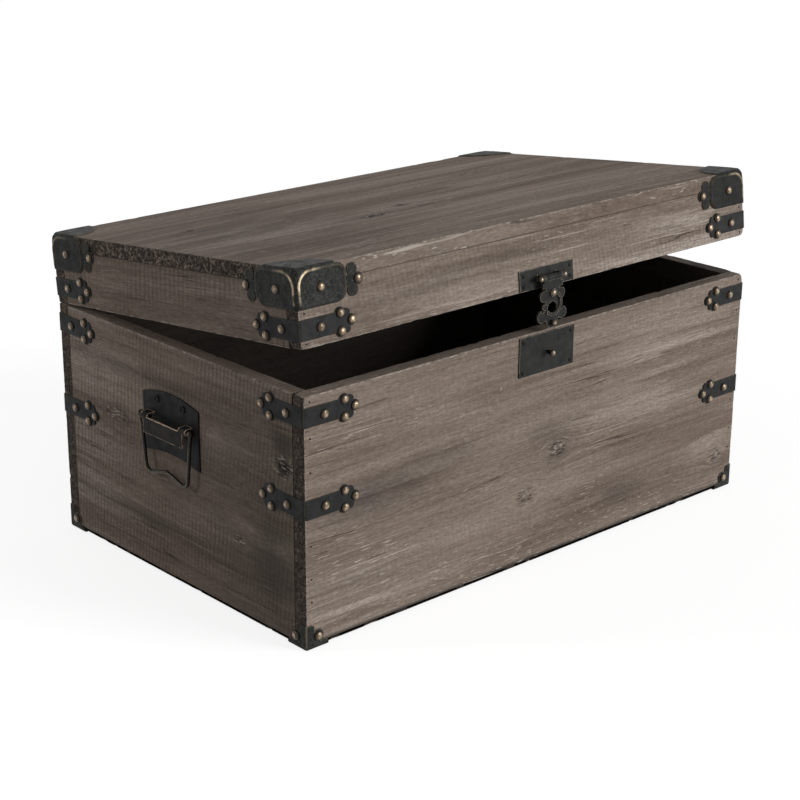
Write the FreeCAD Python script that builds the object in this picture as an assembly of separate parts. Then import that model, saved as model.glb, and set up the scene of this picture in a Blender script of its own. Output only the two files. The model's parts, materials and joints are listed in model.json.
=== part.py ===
import FreeCAD, Part
import math
import os

from FreeCAD import Vector

# A lidded wooden trunk: box base, box lid standing ajar, iron straps and corner caps held by
# domed nails, a hasp with a swinging catch on the front and a bail handle on each end.
#
# Millimetres. The origin is on the floor under the middle of the base. +X runs along the front
# from the left end to the right end, +Y from the front to the back and +Z up.
# The lid and what it carries are made shut and then turned about the hinge pins to stand ajar.

# Wooden case
CHEST_LENGTH = 700.0
CHEST_DEPTH = 445.0
BASE_HEIGHT = 280.0  # floor to rim
LID_HEIGHT = 81.0
LID_AJAR_DEG = 6.2
BOARD = 18.0
TOP_BOARD = 18.0
FLOOR_PANEL = 5.0
FLOOR_PANEL_INSET = 2.0
EDGE_ROUND = 2.0  # eased outer edges of the wood

# Sheet iron, holes and fits
IRON = 1.4
FIT = 0.05  # radial clearance of every pin, nail and rivet in its hole
BLIND_GAP = 0.3  # hole depth left under a nail point
POINT_COVER = 4.0  # wood left in front of a nail point
TOUCH = 1e-4  # tolerance when picking edges by place
OVERCUT = 5.0  # how far cutting tools reach past what they cut

# Domed nails
NAIL_HEAD_R = 5.2
NAIL_HEAD_RISE = 3.2
NAIL_SHANK_R = 1.3

# Wire brads at the corners of the case
BRAD_R = 1.1
BRAD_LENGTH = 38.0
BRAD_FROM_EDGE = 8.0
BASE_BRAD_RISES = (54.0, 80.0)  # from the floor
BASE_BRAD_DROPS = (6.0, 45.0, 82.0, 163.0)  # from the rim
LID_BRAD_RISES = (5.0, 36.0)  # from the lid's lower edge

# Straps bent round the vertical edges
STRAP_WIDTH = 21.0
STRAP_FOLD_NAIL = 26.0  # from the corner to the single nail
STRAP_PAIR = 52.5  # from the corner to the pair of nails
STRAP_PAIR_SPREAD = 9.5
STRAP_SHOULDER = 60.5  # from the corner to the two bare lobes
STRAP_SHOULDER_SPREAD = 8.0
STRAP_SHOULDER_R = 4.6
STRAP_TIP = 66.5  # from the corner to the last nail
STRAP_LOBE_R = 6.0
STRAP_NECK_HALF = 5.0  # half the width of the neck that joins the last lobe
UPPER_STRAP_DROP = 22.0  # from the rim to the strap's middle
MIDDLE_STRAP_DROP = 121.5
RIGHT_STRAP_LOWER = 20.0  # how much lower the middle straps of the right end sit
LID_STRAP_RISE = 19.5  # from the lid's lower edge to the strap's middle

# Lid corner caps
LID_CAP_REACH = 64.0
LID_CAP_GAP = 5.0  # between a side plate and the strap under it
LID_CAP_END_STRAIGHT = 13.0  # straight part of a side plate's outer end
LID_CAP_TOP_R = 50.0
LID_CAP_NAIL = 30.0  # from the corner to the nail in the plate
LID_CAP_NAIL_OFFSET = 1.0  # from the middle of a side plate down to both nails
LID_CAP_NECK_HALF = 5.5
LID_CAP_LOBES = 72.0  # from the corner to the pair of lobes
LID_CAP_LOBE_RISE = 5.5  # from the neck's edges to the middles of the pair of lobes
LID_CAP_LOBE_R = 5.6
LID_CAP_TIP = 78.5  # from the corner to the nail in the end lobe
LID_CAP_TIP_R = 6.4

# Base corner caps
BASE_CAP_POST = 10.0
BASE_CAP_RISE = 27.0
BASE_CAP_TONGUE = 29.0
BASE_CAP_TONGUE_RISE = 6.0
BASE_CAP_NAIL = 15.0  # from the corner to the nail
BASE_CAP_NAIL_RISE = 13.0
BASE_CAP_LOBE_R = 7.2
BASE_CAP_NAIL_BITE = 9.0  # short, so the nails of two faces don't meet

# Hinges at the back
HINGE_FROM_END = 150.0  # from each end of the back to the middle of its hinge
HINGE_WIDTH = 48.0
HINGE_LEAF_HEIGHT = 30.0
HINGE_LEAF = 1.6
HINGE_KNUCKLE_R = 3.0
HINGE_PIN_R = 1.5
HINGE_PLAY = 0.4  # between a knuckle and what turns past it
HINGE_SCREW_SPREAD = 16.0
HINGE_SCREW_RISE = 18.0  # from the rim to the screws
HINGE_SCREW_HEAD_R = 3.2
HINGE_SCREW_HEAD_RISE = 1.0
HINGE_SCREW_SHANK_R = 1.6

# Hasp plates and stud
PLATE = 1.5
BASE_PLATE_HALF_WIDTH = 43.5
BASE_PLATE_HALF_HEIGHT = 23.0
LID_PLATE_HALF_WIDTH = 42.5
LID_PLATE_HALF_HEIGHT = 11.5
PLATE_NAIL_INSET = 5.5
PLATE_NAIL_HEAD_R = 2.9
PLATE_NAIL_HEAD_RISE = 0.9
PLATE_NAIL_SHANK_R = 1.1
STUD_DROP = 25.5  # from the rim to the stud
STUD_NECK_R = 2.4
STUD_HEAD_R = 4.0
STUD_HEAD_RISE = 3.0

# Hasp, measured down from its pin
HASP_PIN_RISE = 12.5  # from the lid's lower edge to the pin
HASP_PIN_R = 2.0
HASP_PIN_BALL_R = 3.4
HASP_LUG_HALF = 14.7  # from the middle to each lug's middle
HASP_LUG = 2.4
HASP_LUG_R = 3.4
HASP_KNUCKLE_HALF = 13.2
HASP_KNUCKLE_R = 3.4
HASP_PLATE = 2.4
HASP_SWING_GAP = 1.0  # between the hanging hasp and the base plate with the lid shut
HASP_BODY_HALF = 10.5
HASP_SHOULDER_HALF = 16.0
HASP_SHOULDER_TOP = 5.5
HASP_SHOULDER_LOW = 12.0
HASP_UPPER_LOBE_SPREAD = 13.0
HASP_UPPER_LOBE_DROP = 20.5
HASP_UPPER_LOBE_R = 6.5
HASP_WAIST_LOBE_SPREAD = 12.0
HASP_WAIST_LOBE_DROP = 33.2
HASP_WAIST_LOBE_R = 3.4
HASP_LOWER_LOBE_SPREAD = 16.0
HASP_LOWER_LOBE_DROP = 43.5
HASP_LOWER_LOBE_R = 7.0
HASP_CURL_SPREAD = 15.0  # round nick that curls the lower lobe
HASP_CURL_DROP = 37.2
HASP_CURL_R = 1.9
HASP_END = 49.5
HASP_END_R = 9.0
HASP_HOLE_R = 7.5
HASP_HOLE_RISE = 2.5  # from the stud's height to the hole's centre
HASP_KNOB = 52.0
HASP_KNOB_R = 3.6
HASP_KNOB_NECK_R = 1.8
HASP_KNOB_NECK = 1.0

# Crescent catch on the hasp
CATCH_PIVOT = 18.0  # from the hasp's pin to the rivet
CATCH = 1.6
CATCH_GAP = 0.3
CATCH_HALF = 1.6  # half the width of the crescent
CATCH_PIVOT_R = 4.6
CATCH_TAIL_DEG = 40.0  # how far the crescent runs past its lowest point
CATCH_BALL_R = 2.2
CATCH_STUD_GAP = 0.6  # between the crescent and the stud's neck
CATCH_HEAD_GAP = 0.6  # between the crescent and the stud's head
RIVET_R = 2.0
RIVET_HEAD_R = 3.6
RIVET_HEAD_RISE = 1.6

# Bail handles
HANDLE_SETBACK = 5.0  # the handle's middle lies this far behind the middle of the end
HANDLE_PLATE = 1.8
HANDLE_HALF_WIDTH = 51.0
HANDLE_BELOW_AXIS = 44.5  # from the bail's axis to the plate's lower corners
HANDLE_LOW_ARCH = 6.0
HANDLE_ABOVE_AXIS = 24.0  # from the bail's axis to the plate's upper corners
HANDLE_HIGH_ARCH = 8.0
HANDLE_RIVET_SPREAD = 24.0
HANDLE_RIVET_INSET = 3.5  # from the plate's upper corners down to the rivets
HANDLE_RIVET_R = 4.2
HANDLE_RIVET_RISE = 1.6
HANDLE_RIVET_SHANK_R = 1.7
BAIL_AXIS_DROP = 87.0  # from the rim to the axis that the bail swings on
BAIL_OUT = 9.0  # from the wood to that axis
BAIL_R = 2.1
BAIL_HALF_SPAN = 46.0
BAIL_STUB_GAP = 0.5  # how far a stub stands past the inner end of its sleeve
BAIL_FOOT_HALF = 38.0
BAIL_DROP = 67.0
BAIL_PEAK = 10.0
BAIL_TOP_BEND = 4.5
BAIL_LOW_BEND = 9.0
BAIL_COLLAR_R = 3.9
SLEEVE_R = 4.2
SLEEVE_INNER = 29.0
SLEEVE_OUTER = 41.0
FLAP = 1.8
FLAP_HALF = 36.5
FLAP_DROP = 18.5
FLAP_DIP = 6.5
FLAP_DIP_FLAT = 15.0  # from the middle to the end of the dip's level part
FLAP_DIP_HALF = 27.0  # from the middle to where the dip starts

# Places worked out from the sizes above
ORIGIN = Vector(0, 0, 0)
HALF_LENGTH = CHEST_LENGTH / 2
HALF_DEPTH = CHEST_DEPTH / 2
BOARD_FOOT = IRON + FLOOR_PANEL
LID_TOP = BASE_HEIGHT + LID_HEIGHT
LID_FRAME_TOP = LID_TOP - TOP_BOARD
NAIL_BITE = BOARD - POINT_COVER
LID_STRAP_TOP = LID_STRAP_RISE + STRAP_PAIR_SPREAD + STRAP_LOBE_R
LID_CAP_DROP = LID_HEIGHT - LID_STRAP_TOP - LID_CAP_GAP
LID_CAP_ROUND = (LID_CAP_DROP - LID_CAP_END_STRAIGHT) / 2
LID_CAP_NAIL_DROP = LID_CAP_DROP / 2 + LID_CAP_NAIL_OFFSET
LID_CAP_LOBE_SPREAD = LID_CAP_NECK_HALF + LID_CAP_LOBE_RISE
HINGE_OUT = HINGE_KNUCKLE_R + HINGE_PLAY
HINGE_SPREAD = HALF_LENGTH - HINGE_FROM_END
HINGE_AXIS = Vector(0, HALF_DEPTH + HINGE_OUT, BASE_HEIGHT)
BAIL_HEIGHT = BASE_HEIGHT - BAIL_AXIS_DROP
HANDLE_LOW = BAIL_HEIGHT - HANDLE_BELOW_AXIS
HANDLE_HIGH = BAIL_HEIGHT + HANDLE_ABOVE_AXIS
HANDLE_RIVET_HEIGHT = HANDLE_HIGH - HANDLE_RIVET_INSET
STUD_HEIGHT = BASE_HEIGHT - STUD_DROP
STUD_BELOW_PIN = STUD_DROP + HASP_PIN_RISE
AJAR_SLOPE = math.sin(math.radians(LID_AJAR_DEG))
HASP_BALL_REACH = math.sqrt(HASP_PIN_BALL_R ** 2 - HASP_PIN_R ** 2) + FIT
HASP_PIN_HALF = HASP_LUG_HALF + HASP_LUG / 2 + HASP_BALL_REACH  # to each ball's middle
HASP_LENGTH = HASP_END + HASP_END_R
HASP_OUT = PLATE + HASP_SWING_GAP + HASP_LENGTH * AJAR_SLOPE + HASP_PLATE / 2
HASP_PIN_SHUT = Vector(0, -HALF_DEPTH - HASP_OUT, BASE_HEIGHT + HASP_PIN_RISE)
CATCH_FACE = HASP_PLATE / 2 + CATCH_GAP + CATCH  # from the hasp's middle to the catch's outer face
STUD_NECK = HASP_OUT - STUD_BELOW_PIN * AJAR_SLOPE + CATCH_FACE + CATCH_HEAD_GAP
CATCH_RING_R = (STUD_BELOW_PIN + STUD_NECK_R + CATCH_STUD_GAP + CATCH_HALF - CATCH_PIVOT) / 2

CORNERS = (
    ("front_left", -1, -1),
    ("front_right", 1, -1),
    ("back_left", -1, 1),
    ("back_right", 1, 1),
)
SIDES = (("left", -1), ("right", 1))


def box(x0, x1, y0, y1, z0, z1):
    return Part.makeBox(x1 - x0, y1 - y0, z1 - z0, Vector(x0, y0, z0))


def rod(radius, start, end):
    return Part.makeCylinder(radius, (end - start).Length, start, end - start)


def joined(shapes):
    return shapes[0].multiFuse(shapes[1:]).removeSplitter()


def only_solid(shape):
    """The single solid that a boolean operation left."""
    if len(shape.Solids) != 1:
        raise ValueError("expected one solid, got %d" % len(shape.Solids))
    return shape.Solids[0]


def edges_at(shape, **place):
    """Edges whose ends all have the given x, y or z."""
    def lies_there(edge):
        return all(
            abs(getattr(vertex.Point, axis) - value) < TOUCH
            for vertex in edge.Vertexes
            for axis, value in place.items()
        )
    return [edge for edge in shape.Edges if lies_there(edge)]


def drilled(shape, holes):
    """Cut the holes that reach into the shape."""
    near = [hole for hole in holes if hole.BoundBox.intersect(shape.BoundBox)]
    return only_solid(shape.cut(near)) if near else shape


def domed_pin(head_r, rise, shank_r, depth):
    """Round-headed nail along Z: the head's flat underside is at zero and the shank runs down."""
    ball_r = (head_r ** 2 + rise ** 2) / (2 * rise)
    half_angle = math.asin(min(1.0, head_r / ball_r)) / 2
    rim = Vector(head_r, 0, 0)
    crown = Vector(0, 0, rise)
    shoulder = Vector(ball_r * math.sin(half_angle), 0, rise - ball_r + ball_r * math.cos(half_angle))
    dome = Part.Arc(rim, shoulder, crown).toShape()
    point = Vector(0, 0, -depth)
    stem = Part.makePolygon([crown, point, Vector(shank_r, 0, -depth), Vector(shank_r, 0, 0), rim])
    profile = Part.Face(Part.Wire([dome] + stem.Edges))
    return only_solid(profile.revolve(ORIGIN, Vector(0, 0, 1), 360))


def aimed(shape, place, outward):
    """Move a piece made along Z so that it stands at place and points outward."""
    moved = shape.copy()
    moved.Placement = FreeCAD.Placement(place, FreeCAD.Rotation(Vector(0, 0, 1), outward))
    return moved


class Fastener:
    """One size of nail, screw or rivet driven through a plate into the wood."""

    def __init__(self, head_r, rise, shank_r, plate, bite):
        self.plate = plate
        self.bite = bite
        self.hole_r = shank_r + FIT
        self.solid = domed_pin(head_r, rise, shank_r, plate + bite)

    def pins(self, spots):
        return [aimed(self.solid, spot + outward * self.plate, outward) for spot, outward in spots]

    def holes(self, spots):
        reach = self.bite + BLIND_GAP
        lead = self.plate + OVERCUT
        return [
            rod(self.hole_r, spot + outward * lead, spot - outward * reach)
            for spot, outward in spots
        ]


NAIL = Fastener(NAIL_HEAD_R, NAIL_HEAD_RISE, NAIL_SHANK_R, IRON, NAIL_BITE)
SHORT_NAIL = Fastener(NAIL_HEAD_R, NAIL_HEAD_RISE, NAIL_SHANK_R, IRON, BASE_CAP_NAIL_BITE)
PLATE_NAIL = Fastener(PLATE_NAIL_HEAD_R, PLATE_NAIL_HEAD_RISE, PLATE_NAIL_SHANK_R, PLATE, NAIL_BITE)
HINGE_SCREW = Fastener(
    HINGE_SCREW_HEAD_R, HINGE_SCREW_HEAD_RISE, HINGE_SCREW_SHANK_R, HINGE_LEAF, NAIL_BITE
)
HANDLE_RIVET = Fastener(
    HANDLE_RIVET_R, HANDLE_RIVET_RISE, HANDLE_RIVET_SHANK_R, HANDLE_PLATE, NAIL_BITE
)
STUD = Fastener(STUD_HEAD_R, STUD_HEAD_RISE, STUD_NECK_R, STUD_NECK, NAIL_BITE)


def corner_spots(side_x, side_y, reach, height):
    """A spot on both faces beside a vertical corner, with the outward direction of each face."""
    on_long_face = Vector(side_x * (HALF_LENGTH - reach), side_y * HALF_DEPTH, height)
    on_end_face = Vector(side_x * HALF_LENGTH, side_y * (HALF_DEPTH - reach), height)
    return [(on_long_face, Vector(0, side_y, 0)), (on_end_face, Vector(side_x, 0, 0))]


def every_corner(reach, height):
    return [spot for _, x, y in CORNERS for spot in corner_spots(x, y, reach, height)]


def plate_spots(half_width, half_height, middle):
    """The four nail spots of a plate on the front."""
    across = half_width - PLATE_NAIL_INSET
    up = half_height - PLATE_NAIL_INSET
    return [
        (Vector(x * across, -HALF_DEPTH, middle + z * up), Vector(0, -1, 0))
        for x in (-1, 1)
        for z in (-1, 1)
    ]


def hinge_spots(height):
    return [
        (Vector(side * HINGE_SPREAD + step * HINGE_SCREW_SPREAD, HALF_DEPTH, height), Vector(0, 1, 0))
        for _, side in SIDES
        for step in (-1, 0, 1)
    ]


def handle_spots():
    spots = []
    for _, side in SIDES:
        for step in (-1, 1):
            y = HANDLE_SETBACK + step * HANDLE_RIVET_SPREAD
            spots.append((Vector(side * HALF_LENGTH, y, HANDLE_RIVET_HEIGHT), Vector(side, 0, 0)))
    return spots


# Strap and cap pieces are drawn at a corner of their own: the wood fills x > 0, y > 0 and z < 0,
# the long face is y = 0, the end face is x = 0 and the top is z = 0.

def corner_block(grow, reach):
    """Three-faced wooden corner with eased edges, grown outwards."""
    block = box(-grow, reach, -grow, reach, -reach, grow)
    edges = edges_at(block, x=-grow, y=-grow)
    edges += edges_at(block, x=-grow, z=grow)
    edges += edges_at(block, y=-grow, z=grow)
    return block.makeFillet(EDGE_ROUND + grow, edges)


def edge_block(grow, reach, half_height):
    """Two-faced wooden corner with an eased vertical edge, grown outwards."""
    block = box(-grow, reach, -grow, reach, -half_height, half_height)
    return block.makeFillet(EDGE_ROUND + grow, edges_at(block, x=-grow, y=-grow))


def on_both_faces(outline):
    """A long-face outline together with its twin on the end face."""
    return outline.fuse(outline.mirror(ORIGIN, Vector(1, -1, 0)))


def face_slab(reach, low, high):
    return box(-IRON, reach, -IRON - OVERCUT, EDGE_ROUND, low, high)


def face_disc(reach, height, radius):
    return rod(radius, Vector(reach, -IRON - OVERCUT, height), Vector(reach, EDGE_ROUND, height))


def at_corner(piece, side_x, side_y, height, upside_down=False):
    """Place a corner piece at one of the case's corners."""
    placed = piece.copy()
    if upside_down:
        placed = placed.mirror(ORIGIN, Vector(0, 0, 1))
    if side_x > 0:
        placed = placed.mirror(ORIGIN, Vector(1, 0, 0))
    if side_y > 0:
        placed = placed.mirror(ORIGIN, Vector(0, 1, 0))
    placed.translate(Vector(side_x * HALF_LENGTH, side_y * HALF_DEPTH, height))
    return placed


def make_strap():
    """Strap round a vertical edge, with a five-lobed end on both arms."""
    half = STRAP_WIDTH / 2
    reach = STRAP_TIP + STRAP_LOBE_R + OVERCUT
    tall = STRAP_PAIR_SPREAD + STRAP_LOBE_R + OVERCUT
    shell = edge_block(IRON, reach, tall).cut(edge_block(0, reach + OVERCUT, tall + OVERCUT))
    outline = [
        face_slab(STRAP_SHOULDER, -half, half),
        face_slab(STRAP_TIP, -STRAP_NECK_HALF, STRAP_NECK_HALF),
        face_disc(STRAP_TIP, 0, STRAP_LOBE_R),
    ]
    for side in (-1, 1):
        outline.append(face_disc(STRAP_PAIR, side * STRAP_PAIR_SPREAD, STRAP_LOBE_R))
        outline.append(face_disc(STRAP_SHOULDER, side * STRAP_SHOULDER_SPREAD, STRAP_SHOULDER_R))
    return only_solid(shell.common(on_both_faces(joined(outline))))


def make_lid_cap():
    """Cap over a lid corner: two side plates with three-lobed ends and a quarter-round top."""
    reach = LID_CAP_TIP + LID_CAP_TIP_R + OVERCUT
    shell = corner_block(IRON, reach).cut(corner_block(0, reach + OVERCUT))
    straight = LID_CAP_REACH - LID_CAP_ROUND
    neck_low = -LID_CAP_NAIL_DROP - LID_CAP_NECK_HALF
    neck_high = LID_CAP_NECK_HALF - LID_CAP_NAIL_DROP
    outline = [
        face_slab(straight, -LID_CAP_DROP, IRON),
        face_slab(LID_CAP_REACH, LID_CAP_ROUND - LID_CAP_DROP, -LID_CAP_ROUND),
        face_disc(straight, -LID_CAP_ROUND, LID_CAP_ROUND),
        face_disc(straight, LID_CAP_ROUND - LID_CAP_DROP, LID_CAP_ROUND),
        face_slab(LID_CAP_TIP, neck_low, neck_high),
        face_disc(LID_CAP_TIP, -LID_CAP_NAIL_DROP, LID_CAP_TIP_R),
    ]
    for side in (-1, 1):
        height = side * LID_CAP_LOBE_SPREAD - LID_CAP_NAIL_DROP
        outline.append(face_disc(LID_CAP_LOBES, height, LID_CAP_LOBE_R))
    top = rod(LID_CAP_TOP_R, Vector(0, 0, -EDGE_ROUND), Vector(0, 0, IRON + OVERCUT))
    return only_solid(shell.common(on_both_faces(joined(outline)).fuse(top)))


def make_base_cap():
    """Small cap under a base corner, drawn upside down: a post, a nail lobe and a low tongue."""
    reach = BASE_CAP_TONGUE + OVERCUT
    shell = corner_block(IRON, reach).cut(corner_block(0, reach + OVERCUT))
    outline = [
        face_slab(BASE_CAP_POST, -BASE_CAP_RISE, IRON),
        face_slab(BASE_CAP_TONGUE, -BASE_CAP_TONGUE_RISE, IRON),
        face_disc(BASE_CAP_NAIL, -BASE_CAP_NAIL_RISE, BASE_CAP_LOBE_R),
    ]
    under = rod(BASE_CAP_TONGUE, Vector(0, 0, -EDGE_ROUND), Vector(0, 0, IRON + OVERCUT))
    return only_solid(shell.common(on_both_faces(joined(outline)).fuse(under)))


def long_board(side_y, low, high):
    """Front or back board, with its outer vertical edges eased."""
    outer = side_y * HALF_DEPTH
    inner = side_y * (HALF_DEPTH - BOARD)
    board = box(-HALF_LENGTH, HALF_LENGTH, min(outer, inner), max(outer, inner), low, high)
    edges = edges_at(board, x=-HALF_LENGTH, y=outer) + edges_at(board, x=HALF_LENGTH, y=outer)
    return board.makeFillet(EDGE_ROUND, edges)


def end_board(side_x, low, high):
    """End board between the front and back boards."""
    outer = side_x * HALF_LENGTH
    inner = side_x * (HALF_LENGTH - BOARD)
    width = HALF_DEPTH - BOARD
    return box(min(outer, inner), max(outer, inner), -width, width, low, high)


def four_boards(prefix, low, high, holes):
    """The boards round the base or the lid."""
    boards = {}
    for name, side in (("front", -1), ("back", 1)):
        boards["%s_%s_board" % (prefix, name)] = long_board(side, low, high)
    for name, side in SIDES:
        boards["%s_%s_board" % (prefix, name)] = end_board(side, low, high)
    return {name: drilled(board, holes) for name, board in boards.items()}


def floor_panel():
    half_x = HALF_LENGTH - FLOOR_PANEL_INSET
    half_y = HALF_DEPTH - FLOOR_PANEL_INSET
    return box(-half_x, half_x, -half_y, half_y, IRON, BOARD_FOOT)


def lid_top_board():
    board = box(-HALF_LENGTH, HALF_LENGTH, -HALF_DEPTH, HALF_DEPTH, LID_FRAME_TOP, LID_TOP)
    edges = edges_at(board, z=LID_TOP)
    for _, side_x, side_y in CORNERS:
        edges += edges_at(board, x=side_x * HALF_LENGTH, y=side_y * HALF_DEPTH)
    return board.makeFillet(EDGE_ROUND, edges)


def brads(heights, grow=0.0):
    """Brads from the front and back faces into the ends of the end boards."""
    pins = []
    for _, side_x, side_y in CORNERS:
        for height in heights:
            head = Vector(side_x * (HALF_LENGTH - BRAD_FROM_EDGE), side_y * HALF_DEPTH, height)
            point = head - Vector(0, side_y * (BRAD_LENGTH + grow), 0)
            pins.append(rod(BRAD_R + grow, head, point))
    return pins


def knuckle(start, end):
    """Hinge knuckle along X between two places."""
    return rod(HINGE_KNUCKLE_R, HINGE_AXIS + Vector(start, 0, 0), HINGE_AXIS + Vector(end, 0, 0))


def hinge_leaf(middle, up, parts):
    """Leaf above (up = 1) or below (up = -1) the rim, with knuckles on the given thirds of its width."""
    half = HINGE_WIDTH / 2
    clear = BASE_HEIGHT + up * HINGE_OUT
    far = BASE_HEIGHT + up * HINGE_LEAF_HEIGHT
    back = HALF_DEPTH + HINGE_LEAF
    pieces = [box(middle - half, middle + half, HALF_DEPTH, back, min(clear, far), max(clear, far))]
    third = HINGE_WIDTH / 3
    for part in parts:
        start = middle - half + part * third + (HINGE_PLAY / 2 if part else 0)
        end = middle - half + (part + 1) * third - (HINGE_PLAY / 2 if part < 2 else 0)
        pieces.append(knuckle(start, end))
        pieces.append(box(start, end, HALF_DEPTH, back, min(BASE_HEIGHT, far), max(BASE_HEIGHT, far)))
    bore = rod(
        HINGE_PIN_R + FIT,
        HINGE_AXIS + Vector(middle - half - OVERCUT, 0, 0),
        HINGE_AXIS + Vector(middle + half + OVERCUT, 0, 0),
    )
    return only_solid(joined(pieces).cut(bore))


def hinge_pin(middle):
    half = Vector(HINGE_WIDTH / 2, 0, 0)
    centre = HINGE_AXIS + Vector(middle, 0, 0)
    return rod(HINGE_PIN_R, centre - half, centre + half)


def front_plate(half_width, half_height, middle):
    low = middle - half_height
    high = middle + half_height
    return box(-half_width, half_width, -HALF_DEPTH - PLATE, -HALF_DEPTH, low, high)


def hasp_lid_plate(middle):
    """Plate on the lid with two lugs that hold the hasp's pin."""
    pieces = [front_plate(LID_PLATE_HALF_WIDTH, LID_PLATE_HALF_HEIGHT, middle)]
    for side in (-1, 1):
        start = HASP_PIN_SHUT + Vector(side * HASP_LUG_HALF - HASP_LUG / 2, 0, 0)
        end = start + Vector(HASP_LUG, 0, 0)
        pieces.append(rod(HASP_LUG_R, start, end))
        low = start.z - HASP_LUG_R
        high = start.z + HASP_LUG_R
        pieces.append(box(start.x, end.x, start.y, -HALF_DEPTH - PLATE, low, high))
    reach = Vector(LID_PLATE_HALF_WIDTH, 0, 0)
    bore = rod(HASP_PIN_R + FIT, HASP_PIN_SHUT - reach, HASP_PIN_SHUT + reach)
    return only_solid(joined(pieces).cut(bore))


def hasp_pin():
    """Pin with a ball on both ends."""
    half = Vector(HASP_PIN_HALF, 0, 0)
    pieces = [rod(HASP_PIN_R, HASP_PIN_SHUT - half, HASP_PIN_SHUT + half)]
    pieces += [Part.makeSphere(HASP_PIN_BALL_R, HASP_PIN_SHUT + half * side) for side in (-1, 1)]
    return only_solid(joined(pieces))


# The hasp and what it carries are drawn with the pin at the origin and the front towards -Y.

def hasp_disc(spread, drop, radius):
    half = Vector(0, HASP_PLATE / 2, 0)
    place = Vector(spread, 0, -drop)
    return rod(radius, place - half, place + half)


def hasp_slab(half_width, low, high):
    return box(-half_width, half_width, -HASP_PLATE / 2, HASP_PLATE / 2, low, high)


def hasp_hole(height, radius):
    reach = Vector(0, OVERCUT, 0)
    return rod(radius, Vector(0, 0, height) - reach, Vector(0, 0, height) + reach)


def make_hasp():
    """Hanging plate with scrolled edges, a hole for the stud and a knuckle round the pin."""
    half = Vector(HASP_KNUCKLE_HALF, 0, 0)
    pieces = [
        rod(HASP_KNUCKLE_R, ORIGIN - half, ORIGIN + half),
        hasp_slab(HASP_KNUCKLE_HALF, -HASP_SHOULDER_LOW, 0),
        hasp_slab(HASP_SHOULDER_HALF, -HASP_SHOULDER_LOW, -HASP_SHOULDER_TOP),
        hasp_slab(HASP_BODY_HALF, -HASP_END, -HASP_SHOULDER_LOW),
        hasp_disc(0, HASP_END, HASP_END_R),
    ]
    cuts = [
        rod(HASP_PIN_R + FIT, ORIGIN - half * 2, ORIGIN + half * 2),
        hasp_hole(HASP_HOLE_RISE - STUD_BELOW_PIN, HASP_HOLE_R),
        hasp_hole(-CATCH_PIVOT, RIVET_R + FIT),
        hasp_hole(-HASP_KNOB, HASP_KNOB_NECK_R + FIT),
    ]
    for side in (-1, 1):
        pieces.append(hasp_disc(side * HASP_UPPER_LOBE_SPREAD, HASP_UPPER_LOBE_DROP, HASP_UPPER_LOBE_R))
        pieces.append(hasp_disc(side * HASP_WAIST_LOBE_SPREAD, HASP_WAIST_LOBE_DROP, HASP_WAIST_LOBE_R))
        pieces.append(hasp_disc(side * HASP_LOWER_LOBE_SPREAD, HASP_LOWER_LOBE_DROP, HASP_LOWER_LOBE_R))
        cuts.append(hasp_disc(side * HASP_CURL_SPREAD, HASP_CURL_DROP, HASP_CURL_R))
    return only_solid(joined(pieces).cut(cuts))


def make_knob():
    """Pull knob whose neck is set in the hasp."""
    front = -HASP_PLATE / 2
    ball = Vector(0, front - HASP_KNOB_NECK - HASP_KNOB_R / 2, -HASP_KNOB)
    neck = rod(HASP_KNOB_NECK_R, Vector(0, HASP_PLATE / 2, -HASP_KNOB), ball)
    wide = HASP_KNOB_R + OVERCUT
    outside = box(-wide, wide, ball.y - wide, front - HASP_KNOB_NECK, ball.z - wide, ball.z + wide)
    return only_solid(joined([neck, Part.makeSphere(HASP_KNOB_R, ball).common(outside)]))


def make_rivet():
    """Rivet through the hasp and the catch, with its head over the catch."""
    depth = CATCH_FACE + CATCH_GAP + HASP_PLATE / 2
    head = Vector(0, -CATCH_FACE - CATCH_GAP, -CATCH_PIVOT)
    return aimed(domed_pin(RIVET_HEAD_R, RIVET_HEAD_RISE, RIVET_R, depth), head, Vector(0, -1, 0))


def make_catch():
    """Open ring hung on the rivet, running down its right side and under the stud to a small ball."""
    front = -CATCH_FACE
    back = front + CATCH
    pivot = Vector(0, back, -CATCH_PIVOT)
    centre = pivot - Vector(0, 0, CATCH_RING_R)
    depth = Vector(0, -CATCH, 0)

    def on_ring(radius, angle):
        turn = math.radians(angle)
        return centre + Vector(radius * math.sin(turn), 0, radius * math.cos(turn))

    last = 180 + CATCH_TAIL_DEG
    inner = CATCH_RING_R - CATCH_HALF
    outer = CATCH_RING_R + CATCH_HALF
    outline = Part.Wire([
        Part.Arc(on_ring(outer, 0), on_ring(outer, last / 2), on_ring(outer, last)).toShape(),
        Part.makeLine(on_ring(outer, last), on_ring(inner, last)),
        Part.Arc(on_ring(inner, last), on_ring(inner, last / 2), on_ring(inner, 0)).toShape(),
        Part.makeLine(on_ring(inner, 0), on_ring(outer, 0)),
    ])
    tail = on_ring(CATCH_RING_R, last)
    pieces = [
        Part.Face(outline).extrude(depth),
        rod(CATCH_PIVOT_R, pivot, pivot + depth),
        rod(CATCH_BALL_R, tail, tail + depth),
    ]
    bore = hasp_hole(-CATCH_PIVOT, RIVET_R + FIT)
    return only_solid(joined(pieces).cut(bore))


# Handle pieces are drawn for the right end, with x = 0 on the wood and y = 0 at the handle's middle.

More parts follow.
